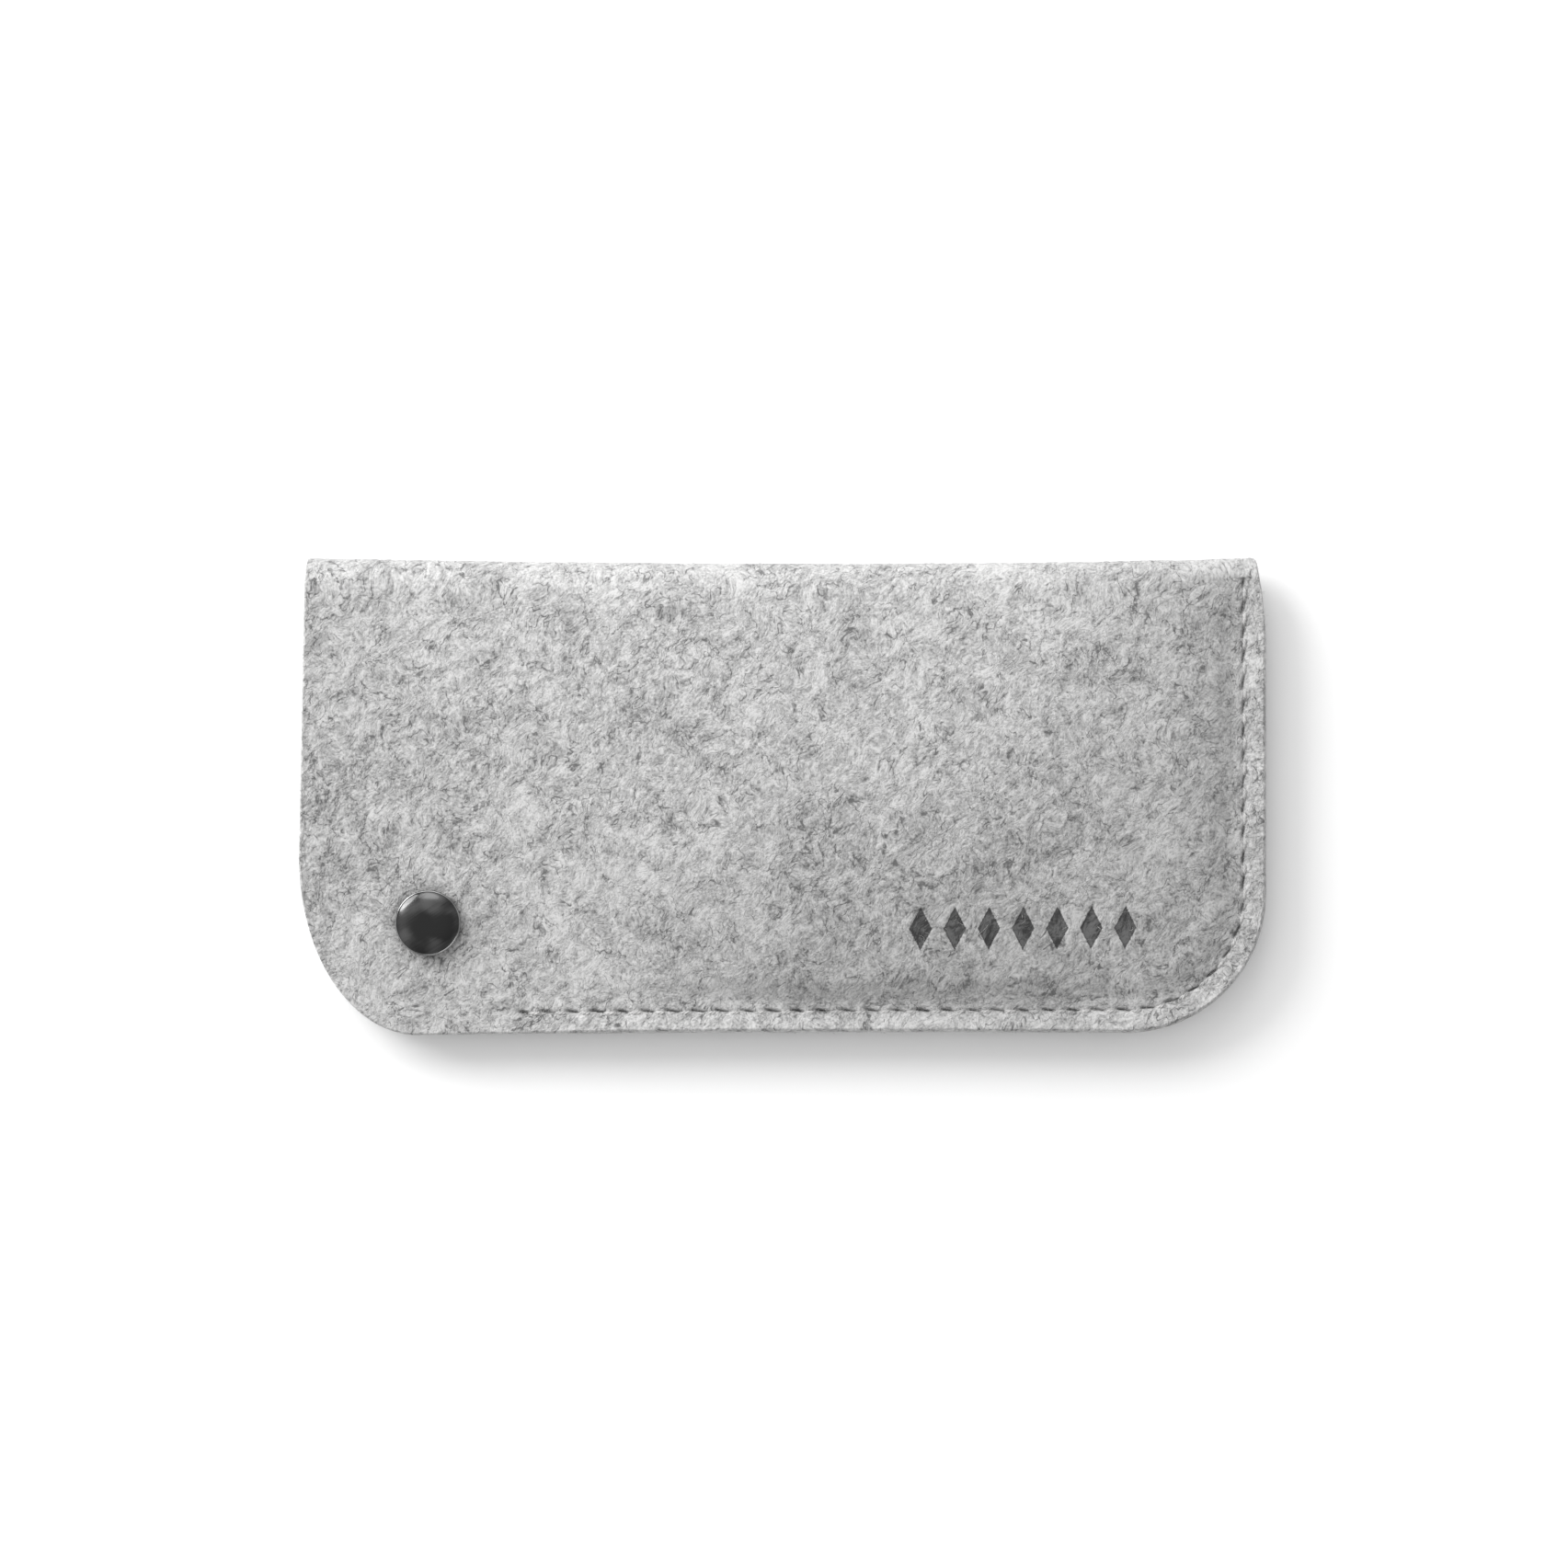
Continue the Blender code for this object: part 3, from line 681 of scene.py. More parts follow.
class Nodes:
    """Builds a material's node tree from short expressions."""

    def __init__(self, name):
        self.material = bpy.data.materials.new(name)
        self.material.use_nodes = True
        self.tree = self.material.node_tree
        self.shader = self.tree.nodes["Principled BSDF"]

    def node(self, kind, inputs=(), **settings):
        made = self.tree.nodes.new(kind)
        for key, value in settings.items():
            setattr(made, key, value)
        for key, value in dict(inputs).items():
            self.put(made.inputs[key], value)
        return made

    def put(self, socket, value):
        if isinstance(value, bpy.types.NodeSocket):
            self.tree.links.new(value, socket)
        else:
            socket.default_value = value

    def math(self, operation, a, b=0.0):
        made = self.node("ShaderNodeMath", operation=operation)
        self.put(made.inputs[0], a)
        self.put(made.inputs[1], b)
        return made.outputs[0]

    def add(self, *terms):
        total = terms[0]
        for term in terms[1:]:
            total = self.math("ADD", total, term)
        return total

    def scaled(self, value, gain, centre=0.0):
        return self.math("MULTIPLY", self.math("SUBTRACT", value, centre), gain)

    def millimetres(self, vector):
        made = self.node("ShaderNodeVectorMath", operation="SCALE")
        self.put(made.inputs[0], vector)
        made.inputs["Scale"].default_value = 1.0 / MM
        return made.outputs[0]

    def sheet_place(self):
        """The place on the uncut sheet, stored in the mesh. The wool follows it when the felt bends."""
        stored = self.node("ShaderNodeAttribute", attribute_name="sheet_place", attribute_type="GEOMETRY")
        return self.millimetres(stored.outputs["Vector"])

    def stored_number(self, name):
        return self.node("ShaderNodeAttribute", attribute_name=name, attribute_type="GEOMETRY").outputs["Fac"]

    def swirled(self, place, size, reach):
        """The same place pushed about by a slow noise, so that no grain runs straight."""
        slow = self.node("ShaderNodeTexNoise", {"Vector": place, "Scale": 1.0 / size, "Detail": 1.0})
        centred = self.node("ShaderNodeVectorMath", operation="SUBTRACT")
        self.put(centred.inputs[0], slow.outputs["Color"])
        centred.inputs[1].default_value = (0.5, 0.5, 0.5)
        pushed = self.node("ShaderNodeVectorMath", operation="SCALE")
        self.put(pushed.inputs[0], centred.outputs[0])
        pushed.inputs["Scale"].default_value = reach
        total = self.node("ShaderNodeVectorMath", operation="ADD")
        self.put(total.inputs[0], place)
        self.put(total.inputs[1], pushed.outputs[0])
        return total.outputs[0]

    def along(self, place, degrees, longer, thinner=1.0):
        """Coordinates whose pattern is drawn out along one direction."""
        made = self.node("ShaderNodeMapping", {"Vector": place}, vector_type="TEXTURE")
        made.inputs["Rotation"].default_value = (0.0, 0.0, math.radians(degrees))
        made.inputs["Scale"].default_value = (longer, thinner, 1.0)
        return made.outputs[0]

    def noise(self, place, size, detail=2.0, roughness=0.5):
        inputs = {"Vector": place, "Scale": 1.0 / size, "Detail": detail, "Roughness": roughness}
        return self.node("ShaderNodeTexNoise", inputs).outputs["Fac"]

    def line(self, value, width):
        """1 along the thin curves where a noise crosses its middle value."""
        return self.ease(self.math("ABSOLUTE", self.math("SUBTRACT", value, 0.5)), width, width * 0.25)

    def ease(self, value, low, high, to_low=0.0, to_high=1.0):
        ends = {"Value": value, "From Min": low, "From Max": high, "To Min": to_low, "To Max": to_high}
        return self.node("ShaderNodeMapRange", ends, interpolation_type="SMOOTHSTEP").outputs[0]

    def colour(self, share, a, b):
        made = self.node("ShaderNodeMix", data_type="RGBA")
        self.put(made.inputs[0], share)
        self.put(made.inputs[6], a)
        self.put(made.inputs[7], b)
        return made.outputs[2]

    def finish(self, colour, roughness, height, distance, strength):
        bump = self.node("ShaderNodeBump", {"Height": height, "Distance": distance, "Strength": strength})
        self.put(self.shader.inputs["Base Color"], colour)
        self.put(self.shader.inputs["Roughness"], roughness)
        self.put(self.shader.inputs["Normal"], bump.outputs[0])
        return self.material


def grey(value, warmth=0.0):
    return (value * (1.0 + warmth), value, value * (1.0 - warmth), 1.0)


def stamp_inside(n, place, ragged):
    """How far inside a stamped lozenge a place on the outer face is: 0 on its outline, 1 at its middle."""
    split = n.node("ShaderNodeSeparateXYZ", {"Vector": place})
    dx = n.math("SUBTRACT", split.outputs[0], STAMP_CENTRE[0] / MM)
    dy = n.math("SUBTRACT", split.outputs[1], STAMP_CENTRE[1] / MM)
    pitch, last = STAMP_PITCH / MM, STAMP_COUNT // 2
    cell = n.math("ROUND", n.math("DIVIDE", dx, pitch))
    cell = n.math("MAXIMUM", n.math("MINIMUM", cell, last), -last)
    across = n.math("ABSOLUTE", n.math("SUBTRACT", dx, n.math("MULTIPLY", cell, pitch)))
    across = n.math("DIVIDE", across, STAMP_HALF_WIDTH / MM)
    upward = n.math("DIVIDE", n.math("ABSOLUTE", dy), STAMP_HALF_HEIGHT / MM)
    inside = n.math("SUBTRACT", 1.0, n.math("ADD", across, upward))
    inside = n.add(inside, n.scaled(ragged, 0.30, 0.5))
    return n.math("MULTIPLY", inside, n.ease(split.outputs[2], 0.4, 0.9))


def felt_material(name, stamped):
    """Wool felt: pale and dark fibres matted together, with a loose grain across the sheet."""
    n = Nodes(name)
    place = n.sheet_place()
    loose = n.swirled(place, 7.0, 5.0)
    curly = n.swirled(loose, 1.6, 1.5)

    mottle = n.noise(n.along(loose, GRAIN, 1.5, 0.9), 1.9, 5.0, 0.66)
    strands = [n.noise(n.along(curly, GRAIN + turn, 2.2, 0.6), 0.62, 2.0, 0.65) for turn in STRAND_TURNS]
    matted = n.scaled(n.add(*strands), 1.0 / 3.0)
    patches = n.noise(loose, 9.0, 2.0, 0.5)
    cloud = n.noise(place, 30.0, 1.0)
    speck = n.noise(place, 0.42, 1.0)

    hairs = n.line(n.noise(n.along(curly, GRAIN, 1.7), 2.4, 1.0), 0.030)
    stray = n.line(n.noise(n.along(curly, GRAIN + 80.0, 1.5), 3.4, 1.0), 0.018)
    hairs = n.math("MULTIPLY", hairs, n.ease(n.noise(place, 3.1, 1.0), 0.44, 0.60))
    stray = n.math("MULTIPLY", stray, n.ease(n.noise(place, 4.3, 1.0), 0.50, 0.60))

    darker = n.add(
        0.37,
        n.scaled(mottle, 1.7, 0.5),
        n.scaled(matted, 2.6, 0.5),
        n.scaled(patches, 0.60, 0.5),
        n.scaled(cloud, 0.40, 0.5),
        n.scaled(speck, 0.85, 0.5),
        n.scaled(hairs, 0.46),
        n.scaled(stray, 0.38),
    )
    nep = n.node("ShaderNodeTexVoronoi", {"Vector": place, "Scale": 1.0 / NEP_SPACING})
    neps = n.ease(n.math("ADD", nep.outputs["Distance"], n.scaled(speck, 0.05, 0.5)), 0.060, 0.030)
    darker = n.add(darker, n.scaled(n.math("MULTIPLY", neps, n.ease(patches, 0.42, 0.58)), 0.45))
    # Painted shade: the felt's colour is darkened in the needle dents, standing in for their shadow
    darker = n.add(darker, n.scaled(n.stored_number("dent_and_painted_shade"), DENT_PAINTED_SHADE))
    darker = n.math("MINIMUM", n.math("MAXIMUM", darker, 0.0), 1.0)

    colour = n.colour(darker, grey(FELT_LIGHT, 0.004), grey(FELT_DARK))
    if stamped:
        inside = stamp_inside(n, place, matted)
        burnt = n.colour(n.ease(n.add(mottle, matted), 0.84, 1.16), grey(INK_LIGHT), grey(INK_DARK))
        burnt = n.colour(n.scaled(n.ease(inside, 0.26, 0.06), 0.5), burnt, grey(INK_DARK))
        colour = n.colour(n.ease(inside, 0.0, 0.10), colour, burnt)
    n.shader.inputs["Specular IOR Level"].default_value = 0.15
    n.shader.inputs["Sheen Weight"].default_value = 0.20
    n.shader.inputs["Sheen Roughness"].default_value = 0.6
    relief = n.add(n.scaled(matted, 1.6), n.scaled(mottle, 0.9), n.scaled(speck, 0.3))
    return n.finish(colour, n.ease(speck, 0.3, 0.7, 0.88, 1.0), n.scaled(relief, -1.0), 0.22 * MM, 0.6)


def fibre_material(name):
    """Single wool fibres, some pale and some dark."""
    n = Nodes(name)
    place = n.sheet_place()
    pick = n.noise(place, 0.37, 0.0)
    colour = n.colour(n.ease(pick, 0.44, 0.54), grey(FELT_DARK), grey(FELT_LIGHT * 1.15, 0.01))
    n.shader.inputs["Specular IOR Level"].default_value = 0.25
    n.shader.inputs["Sheen Weight"].default_value = 0.25
    return n.finish(colour, n.ease(n.noise(place, 0.8), 0.3, 0.7, 0.7, 0.95), pick, 0.02 * MM, 0.3)


def thread_material(name):
    """Spun polyester thread: fine fibres along each ply, a little soiled in places."""
    n = Nodes(name)
    place = n.sheet_place()
    fibres = n.noise(n.along(place, 0.0, 3.0, 0.25), 0.30, 3.0, 0.6)
    blotch = n.noise(place, 5.0)
    tone = n.ease(n.add(n.scaled(fibres, 0.7), n.scaled(blotch, 0.3)), 0.35, 0.62)
    n.shader.inputs["Specular IOR Level"].default_value = 0.4
    n.shader.inputs["Sheen Weight"].default_value = 0.25
    colour = n.colour(tone, grey(THREAD_DARK), grey(THREAD_LIGHT, 0.01))
    return n.finish(colour, n.ease(fibres, 0.3, 0.7, 0.5, 0.75), fibres, 0.05 * MM, 0.6)


def metal_material(name, light, dark, roughness_range):
    """Plated metal with faint smudges and the fine scuffs of handling."""
    n = Nodes(name)
    place = n.millimetres(n.node("ShaderNodeTexCoord").outputs["Object"])
    smudge = n.noise(place, 4.6, 1.0, 0.4)
    scuff = n.noise(n.along(place, 33.0, 7.0, 0.25), 0.9, 3.0, 0.7)
    pitted = n.noise(place, 0.35, 2.0, 0.6)
    tone = n.ease(n.add(n.scaled(smudge, 0.8), n.scaled(scuff, 0.2)), 0.40, 0.66)
    rough = n.add(n.scaled(smudge, 0.6), n.scaled(pitted, 0.4))
    n.shader.inputs["Metallic"].default_value = 1.0
    n.shader.inputs["Coat Weight"].default_value = 0.4
    n.shader.inputs["Coat Roughness"].default_value = 0.05
    roughness = n.ease(rough, 0.38, 0.62, *roughness_range)
    colour = n.colour(tone, grey(dark), grey(light))
    # Painted highlight: the rolled rim's colour is made paler, in patches
    rim_highlight_share = n.math("MULTIPLY", n.stored_number("rim_highlight_share"), n.ease(smudge, 0.30, 0.55, 0.4, 1.0))
    return n.finish(n.colour(rim_highlight_share, colour, grey(GUNMETAL_RIM_HIGHLIGHT)), roughness, scuff, 0.006 * MM, 0.3)


# ---------------------------------------------------------------- felt pieces


def panel_grid(height, drift):
    """Middle points of a panel, from the fold to the sewn edge, whose edge may wander a little."""
    columns, shares = column_places(), row_shares()
    column = np.broadcast_to(columns, (len(shares), len(columns)))
    edge = side_edge(column) + drift * field(column, column * 0, 17.0 * MM, SEED + 25)
    y = mix(edge, split_y(column), shares[:, None])
    x = true_x(column, y)
    return x, y, points(x, y, height(x, y)), surface_normal(height, x, y)


def strip_area(middle):
    """Area and greatest width of a strip of felt, measured on its middle surface."""
    steps = np.linalg.norm(np.diff(middle, axis=0), axis=-1)
    a, b = middle[1:, 1:] - middle[:-1, :-1], middle[1:, :-1] - middle[:-1, 1:]
    area = 0.5 * np.linalg.norm(np.cross(a, b), axis=-1).sum()
    return float(area), float(steps.sum(axis=0).max())


def build_front(finish):
    x, y, middle, normal = panel_grid(lipped_front, 0.0)
    drawn, dent_and_painted_shade = seam_marks(x, y)
    rise = FELT / 2 + felt_relief(x, y)
    rise[1:] -= (drawn + stamp_sink(x, y) + snap_sink(x, y, CAP_RADIUS, CAP_BED))[1:]
    depth = FELT / 2 - snap_sink(x, y, SOCKET_BED_RADIUS, SOCKET_BED)
    flat = np.stack((x, y), axis=-1)
    made, outer = felt_sheet("felt_front", middle, normal, rise, depth, flat, finish)
    # Mask of the painted shade in the needle dents
    store_numbers(made, "dent_and_painted_shade", dent_and_painted_shade)
    return made, (outer, normal, flat), strip_area(middle)


def build_back(finish):
    """The fold and the back panel, as one strip. Its lowest part rests flat on the ground."""
    x, y, back, back_normal = panel_grid(lipped_back, EDGE_DRIFT)
    turns = np.linspace(0.0, 2.0, FOLD_ROWS + 1)[:-1, None] * np.ones(x.shape[1])
    column = np.broadcast_to(column_places(), turns.shape)
    fold = fold_points(column, turns)
    around = fold_points(column, np.minimum(turns + FOLD_STEP, 2.0))
    around = around - fold_points(column, np.maximum(turns - FOLD_STEP, 0.0))
    fold_normal = unit(np.cross(np.gradient(fold, axis=1), around))
    fold_normal[0] = surface_normal(front_height, fold[0, :, 0], fold[0, :, 1])

    middle = np.concatenate((fold, back))
    normal = np.concatenate((fold_normal, -back_normal))
    spacing = np.linalg.norm(np.diff(middle, axis=0), axis=-1)
    run = np.concatenate((np.zeros((1, x.shape[1])), np.cumsum(spacing, axis=0)))
    flat = np.stack((middle[..., 0], split_y(column[0]) + run), axis=-1)
    relief = felt_relief(flat[..., 0], flat[..., 1])
    grounded = smooth((-normal[..., 2] - 0.5) / 0.4)
    relief = mix(relief, np.minimum(relief, 0.0) - GROUND_SHAVE, grounded)
    drawn, dent_and_painted_shade = seam_marks(x, y)
    rise = FELT / 2 + relief
    rise[FOLD_ROWS:] -= drawn + snap_sink(x, y, POST_BED_RADIUS, FLANGE_BED)
    depth = np.full_like(rise, FELT / 2)
    depth[:FOLD_ROWS] *= 1.0 - FOLD_SQUEEZE * np.sin(np.pi * turns / 2)
    depth[FOLD_ROWS:] -= snap_sink(x, y, STUD_BED_RADIUS, FLANGE_BED)
    made, outer = felt_sheet("felt_back", middle, normal, rise, depth, flat, finish)
    # Mask of the painted shade in the needle dents, none on the fold rows
    painted_dent_shade = np.zeros_like(rise)
    painted_dent_shade[FOLD_ROWS:] = dent_and_painted_shade
    store_numbers(made, "dent_and_painted_shade", painted_dent_shade)
    return made, (outer, normal, flat), strip_area(middle)


def hair_mesh(name, path, radius, up, place, finish):
    """One mesh of many thin three-sided hairs. path is hairs × points × 3."""
    count, steps = path.shape[:2]
    tangent = unit(np.gradient(path, axis=1))
    side = unit(np.cross(tangent, up[:, None]))
    over = np.cross(side, tangent)
    angles = np.arange(3) / 3 * 2 * np.pi
    ring = side[:, :, None] * np.cos(angles)[:, None] + over[:, :, None] * np.sin(angles)[:, None]
    verts = path[:, :, None] + ring * radius[:, :, None, None]
    index = np.arange(steps * 3).reshape(steps, 3)
    after = np.roll(index, -1, axis=1)
    sides = np.stack((index[:-1], after[:-1], after[1:], index[1:]), axis=-1).reshape(-1, 4)
    starts = np.arange(count) * steps * 3
    faces = (sides[None] + starts[:, None, None]).reshape(-1, 4).tolist()
    faces += (index[0, ::-1] + starts[:, None]).tolist() + (index[-1] + starts[:, None]).tolist()
    made = new_object(name, verts.reshape(-1, 3), faces, finish)
    store_vectors(made, "sheet_place", np.repeat(place, steps * 3, axis=0))
    return made


def lying_fibres(name, face, count, seed, finish):
    """Stray fibres that lie on the felt, each rooted in its face at both ends."""
    outer, normal, flat = face
    rng = np.random.default_rng(seed)
    i = rng.integers(FIBRE_MARGIN, outer.shape[0] - FIBRE_MARGIN, count)
    j = rng.integers(FIBRE_MARGIN, outer.shape[1] - FIBRE_MARGIN, count)
    root, up = outer[i, j], normal[i, j]
    heading = rng.normal(math.radians(GRAIN), 1.0, count)
    ahead = points(np.cos(heading), np.sin(heading), 0.0)
    ahead = unit(ahead - up * np.sum(ahead * up, axis=-1, keepdims=True))
    beside = np.cross(up, ahead)
    length = rng.uniform(0.8, 2.4, count) * MM
    lift = rng.uniform(0.04, 0.16, count) * MM
    curl = rng.normal(0.0, 0.5, count) * length
    t = np.linspace(-0.5, 0.5, 7)
    path = (
        root[:, None]
        + ahead[:, None] * (length[:, None] * t)[..., None]
        + beside[:, None] * (curl[:, None] * t**2 * 2)[..., None]
        + up[:, None] * (lift[:, None] * np.cos(np.pi * t) - FIBRE_SINK)[..., None]
    )
    path[..., 2] = np.maximum(path[..., 2], FIBRE_FLOOR)
    radius = rng.uniform(0.016, 0.030, count)[:, None] * MM * (0.4 + 0.6 * np.cos(np.pi * t))
    place = points(flat[i, j, 0], flat[i, j, 1], 0.0)
    return hair_mesh(name, path, radius, up, place, finish)


def edge_fibres(name, face, count, seed, finish):
    """Cut ends of fibres that stand out from the sheet's edge."""
    outer, normal, flat = face
    rng = np.random.default_rng(seed)
    at = np.array([place for place in border(*outer.shape[:2]) if place[0] > 0])
    pick = rng.integers(1, len(at) - 1, count)
    here, before, after = at[pick], at[pick - 1], at[pick + 1]
    up = normal[here[:, 0], here[:, 1]]
    ahead = unit(outer[after[:, 0], after[:, 1]] - outer[before[:, 0], before[:, 1]] + 1e-9)
    outward = unit(np.cross(ahead, up))
    level = rng.uniform(0.1, 0.9, count)[:, None] * FELT
    root = outer[here[:, 0], here[:, 1]] - up * level
    root = root + outward * (EDGE_ROUND * 0.75)
    length = rng.uniform(0.15, 0.50, count) * MM
    lean, climb = rng.normal(0.0, 0.9, (2, count))
    t = np.linspace(0.0, 1.0, 5)
    path = (
        root[:, None]
        + outward[:, None] * (length[:, None] * t * (1.0 - 0.35 * t))[..., None]
        + ahead[:, None] * (length[:, None] * lean[:, None] * t)[..., None]
        + up[:, None] * (length[:, None] * climb[:, None] * 0.5 * t**2)[..., None]
    )
    path[..., 2] = np.maximum(path[..., 2], FIBRE_FLOOR)
    radius = rng.uniform(0.012, 0.022, count)[:, None] * MM * (1.0 - 0.6 * t)
    place = points(flat[here[:, 0], here[:, 1], 0], flat[here[:, 0], here[:, 1], 1], 0.0)
    return hair_mesh(name, path, radius, up, place, finish)


# ---------------------------------------------------------------- thread


def build_thread(name, height, side, finish):
    """Plied thread that runs over the felt between needle holes and dives into each."""
    s = np.linspace(0.0, seam_length(), STITCH_COUNT * THREAD_STEPS + 1)
    x, y = seam_place(s)
    hole = from_hole(s)
    level = FELT / 2 - CHANNEL_DEPTH + THREAD_RADIUS * 0.6
    dive = THREAD_DIVE * np.exp(-((hole / THREAD_DIVE_LENGTH) ** 4))
    middle = points(x, y, height(x, y) + side * (level - dive))
    tangent = unit(np.gradient(middle, axis=0))
    upward = np.broadcast_to(np.array((0.0, 0.0, float(side))), middle.shape)
    across = unit(np.cross(tangent, upward))
    over = np.cross(across, tangent)
    middle = middle + across * (THREAD_SWAY * field(s, s * 0, 3.1 * MM, SEED + 31))[:, None]
    verts, faces, places = [], [], []
    for ply in range(PLY_COUNT):
        turn = 2 * np.pi * (s / PLY_TWIST + ply / PLY_COUNT)
        offset = across * np.cos(turn)[:, None] + over * np.sin(turn)[:, None]
        ring, sides = tube(middle + offset * THREAD_RADIUS * 0.5, THREAD_RADIUS * 0.56, PLY_SIDES, over)
        start = ply * len(ring)
        verts.append(ring)
        faces += [[index + start for index in face] for face in sides]
        places.append(np.repeat(points(s, ply * MM, 0.0), PLY_SIDES, axis=0))
    made = new_object(name, np.concatenate(verts), faces, finish)
    store_vectors(made, "sheet_place", np.concatenate(places))
    return made


# ---------------------------------------------------------------- snap


def cap_profile(base, top):
    """Pressed cap: a low dome with a steep shoulder, a fine groove and a rolled rim, hollow underneath."""
    shares = np.linspace(0.0, CAP_DOME, CAP_RINGS)
    dome = [(share * CAP_RADIUS, top - CAP_DROP * share**4) for share in shares]
    edge = top - CAP_DROP * CAP_DOME**4
    rim = [
        (0.932, edge - 0.055 * MM),
        (0.942, edge - 0.095 * MM),
        (0.950, edge - 0.085 * MM),
        (0.961, edge - 0.030 * MM),
        (0.972, edge - 0.042 * MM),
        (0.984, edge - 0.095 * MM),
        (0.995, edge - 0.20 * MM),
        (1.000, edge - 0.40 * MM),
        (0.997, base + 0.20 * MM),
        (0.985, base + 0.06 * MM),
        (0.960, base),
        (0.900, base + 0.05 * MM),
        (0.820, base + 0.40 * MM),
        (0.600, base + 0.95 * MM),
    ]
    return dome + [(share * CAP_RADIUS, z) for share, z in rim] + [(0.0, base + 1.15 * MM)]


def snap_profiles():
    """Each snap piece's outline of (radius, height), at the CAD model's levels, with its corners rounded."""
    back, front = float(back_height(SNAP.x, SNAP.y)), float(front_height(SNAP.x, SNAP.y))
    ground, back_in = back - FELT / 2, back + FELT / 2
    front_in, front_out = front - FELT / 2, front + FELT / 2
    flange = ground + FLANGE_BED - GAP
    stud = back_in - FLANGE_BED + GAP
    plate = front_in + FLANGE_BED - GAP / 2
    rim = stud + 0.5 * MM + GAP
    flare = plate - 0.4 * MM - GAP / 2
    base = front_out - CAP_SINK
    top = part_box("snap_cap")[1].z

    def mm(level, *steps):
        return [(radius * MM, level + rise * MM) for radius, rise in steps]

    post = mm(flange, (0.55, -0.60), (1.30, -0.85), (2.6, -0.90), (4.0, -0.86))
    post += mm(flange, (4.7, -0.55), (4.7, 0), (1.0, 0)) + mm(stud + 2.3 * MM, (1.0, -0.9), (0.55, -0.9))
    head = mm(stud, (1.3, 0), (3.9, 0), (4.2, 0.2), (3.9, 0.5), (2.4, 0.56), (1.75, 0.75), (1.6, 1.05))
    head += mm(stud, (1.62, 1.3), (1.9, 1.65), (1.86, 1.9), (1.5, 2.18), (0.0, 2.3), (0.0, 1.8), (0.9, 1.7))
    head += mm(stud, (1.3, 1.3))
    socket = mm(rim, (2.8, 0), (3.6, 0), (4.0, 0.4)) + mm(plate, (4.0, -0.6), (5.0, -0.5), (5.2, -0.2))
    socket += mm(plate, (5.0, 0), (1.6, 0), (1.6, -0.4), (2.8, -0.4)) + mm(rim, (2.8, 0.95), (3.4, 0.95))
    socket += mm(rim, (3.4, 0.25), (2.8, 0.25))
    rivet = mm(flare, (0.7, -0.25), (2.1, -0.25), (2.1, 0), (1.3, 0))
    rivet += mm(front_out + GAP, (1.3, 0.2), (3.4, 0.2), (3.4, 0.6), (0.7, 0.6))
    return {
        "snap_cap": ("cap_shell", cap_profile(base, top)),
        "cap_rivet": ("cap_rivet_tube", rounded(rivet, 0.12 * MM)),
        "snap_socket": ("socket_cup", rounded(socket, 0.12 * MM)),
        "snap_stud": ("stud_head", rounded(head, 0.14 * MM)),
        "stud_post": ("post_flange", rounded(post, 0.18 * MM)),
    }, rim + 0.55 * MM


def painted_rim_highlight(cap):
    """How strongly a painted highlight lightens the cap's rolled rim, all the way round."""
    place = np.array([vertex.co for vertex in cap.data.vertices])
    share = np.hypot(place[:, 0] - SNAP.x, place[:, 1] - SNAP.y) / CAP_RADIUS
    return smooth((share - 0.955) / 0.015) * smooth((1.0 - share) / 0.010)


def build_spring(level, finish):
    """Open ring of wire in the socket's groove."""
    turn = np.linspace(SPRING_OPENING, 2 * math.pi - SPRING_OPENING, 90)
    ring = points(SNAP.x + SPRING_RADIUS * np.cos(turn), SNAP.y + SPRING_RADIUS * np.sin(turn), level)
    upward = np.broadcast_to(np.array((0.0, 0.0, 1.0)), ring.shape)
    verts, faces = tube(ring, SPRING_WIRE, 12, upward)
    return new_object("socket_ring_spring", verts, faces, finish)


# ---------------------------------------------------------------- stage


def build_floor():
    far = FLOOR_REACH
    n = Nodes("paper_floor")
    n.shader.inputs["Base Color"].default_value = grey(FLOOR_GREY)
    n.shader.inputs["Roughness"].default_value = 0.9
    n.shader.inputs["Specular IOR Level"].default_value = 0.1
    corners = [(-far, -far, 0.0), (far, -far, 0.0), (far, far, 0.0), (-far, far, 0.0)]
    new_object("floor", corners, [(0, 1, 2, 3)], n.material)


def build_world():
    """Pale room that is brightest towards the window, up and to the left."""
    world = bpy.data.worlds.new("studio")
    world.use_nodes = True
    tree = world.node_tree
    where = tree.nodes.new("ShaderNodeTexCoord")
    facing = tree.nodes.new("ShaderNodeVectorMath")
    facing.operation = "DOT_PRODUCT"
    facing.inputs[1].default_value = tuple(unit(np.array(WINDOW_DIRECTION)))
    ramp = tree.nodes.new("ShaderNodeMapRange")
    ramp.interpolation_type = "SMOOTHSTEP"
    for key, value in (("From Min", -0.3), ("From Max", 1.0), ("To Min", ROOM_DARK), ("To Max", ROOM_LIGHT)):
        ramp.inputs[key].default_value = value
    tree.links.new(where.outputs["Generated"], facing.inputs[0])
    tree.links.new(facing.outputs["Value"], ramp.inputs["Value"])
    tree.links.new(ramp.outputs[0], tree.nodes["Background"].inputs["Strength"])
    tree.nodes["Background"].inputs["Color"].default_value = (1.0, 1.0, 1.0, 1.0)
    bpy.context.scene.world = world


def build_lights():
    for name, place, size, power in SOFTBOXES:
        light = bpy.data.lights.new(name, "AREA")
        light.shape = "DISK"
        light.size = size
        light.energy = power
        lamp = bpy.data.objects.new(name, light)
        bpy.context.scene.collection.objects.link(lamp)
        lamp.location = place
        lamp.visible_camera = False
        lamp.rotation_mode = "QUATERNION"
        lamp.rotation_quaternion = (-lamp.location).to_track_quat("-Z", "Y")


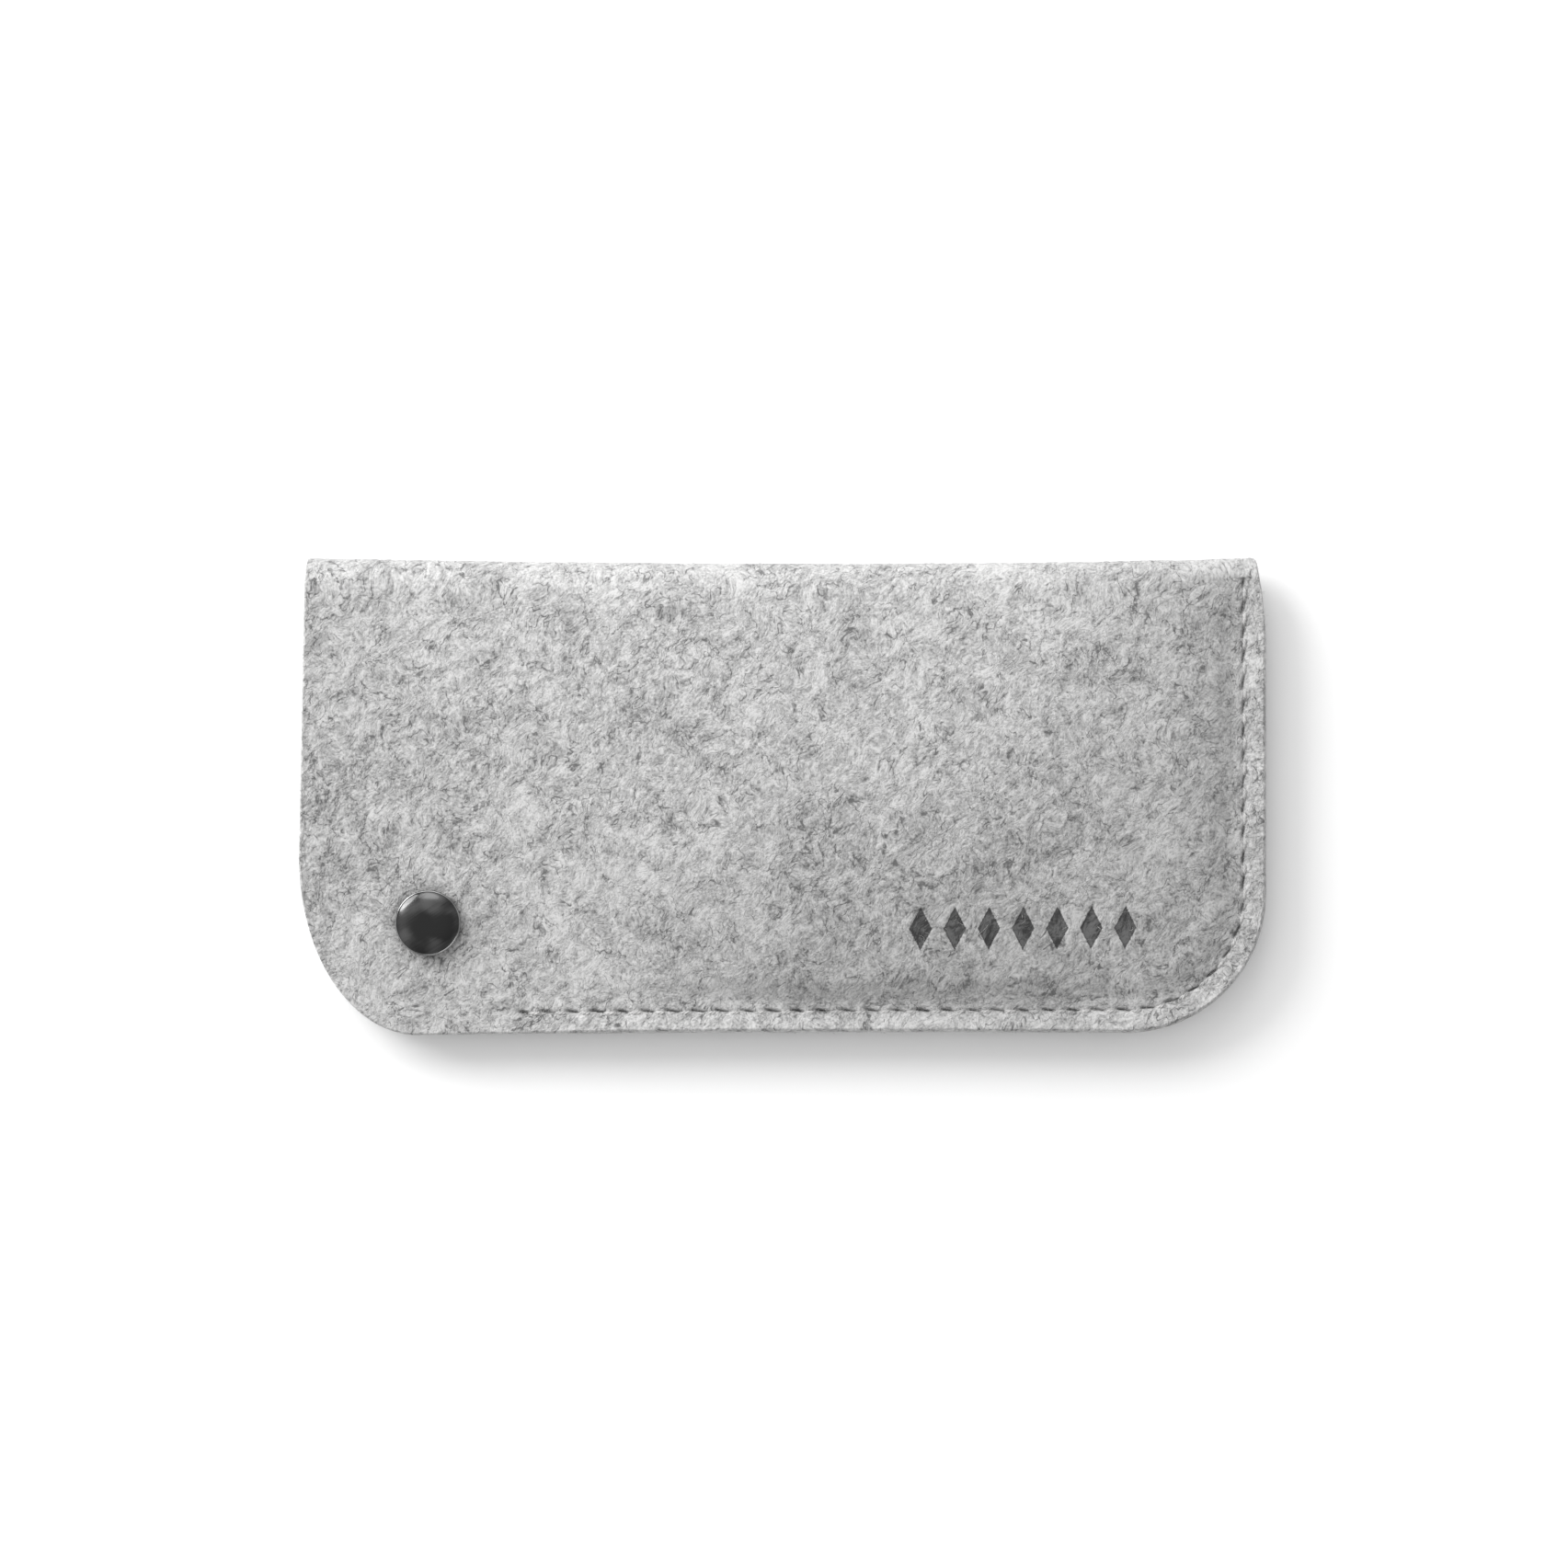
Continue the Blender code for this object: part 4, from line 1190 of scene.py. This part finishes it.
def build_camera():
    """Camera straight above the case. Its picture is CAMERA_FRAME wide at CAMERA_DISTANCE."""
    data = bpy.data.cameras.new("camera")
    data.lens = data.sensor_width * CAMERA_DISTANCE / CAMERA_FRAME
    data.clip_start = 0.01
    camera = bpy.data.objects.new("camera", data)
    bpy.context.scene.collection.objects.link(camera)
    camera.location = CAMERA_PLACE
    bpy.context.scene.camera = camera


# ---------------------------------------------------------------- build

front_finish = felt_material("felt_wool_stamped", True)
back_finish = felt_material("felt_wool", False)
fibre_finish = fibre_material("wool_fibre")
thread_finish = thread_material("spun_thread")
gunmetal = metal_material("gunmetal_plate", GUNMETAL_LIGHT, GUNMETAL_DARK, GUNMETAL_ROUGHNESS)
steel = metal_material("spring_wire", STEEL_LIGHT, STEEL_DARK, STEEL_ROUGHNESS)

felt_front, front_face, front_size = build_front(front_finish)
felt_back, back_face, back_size = build_back(back_finish)
front_fuzz = lying_fibres("front_fuzz", front_face, FRONT_FIBRES, SEED + 40, fibre_finish)
back_fuzz = lying_fibres("back_fuzz", back_face, BACK_FIBRES, SEED + 41, fibre_finish)
front_edge_fuzz = edge_fibres("front_edge_fuzz", front_face, EDGE_FIBRES, SEED + 42, fibre_finish)
back_edge_fuzz = edge_fibres("back_edge_fuzz", back_face, EDGE_FIBRES, SEED + 43, fibre_finish)

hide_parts("front_panel", "mouth_flap")
for piece in (felt_front, front_fuzz, front_edge_fuzz):
    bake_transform(piece)
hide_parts("back_panel")
for piece in (felt_back, back_fuzz, back_edge_fuzz):
    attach(piece, "pouch")

for node, name, height, side in (
    ("needle_thread", "needle_stitches", front_height, 1),
    ("bobbin_thread", "bobbin_stitches", back_height, -1),
):
    stitches = build_thread(name, height, side, thread_finish)
    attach(stitches, "pouch")
    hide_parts(node)

flap_nodes = frame["record"]["behaviour"]["bodies"]["flap"]
outlines, spring_level = snap_profiles()
snap_pieces = {node: turned(name, outline, gunmetal) for node, (name, outline) in outlines.items()}
snap_pieces["socket_spring"] = build_spring(spring_level, steel)
# Where the painted highlight lies on the cap's rim
store_numbers(snap_pieces["snap_cap"], "rim_highlight_share", painted_rim_highlight(snap_pieces["snap_cap"]))
for node, piece in snap_pieces.items():
    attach(piece, "flap" if node in flap_nodes else "pouch")
    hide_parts(node)

build_floor()
build_world()
build_lights()
build_camera()
bpy.context.scene.view_settings.view_transform = "Standard"
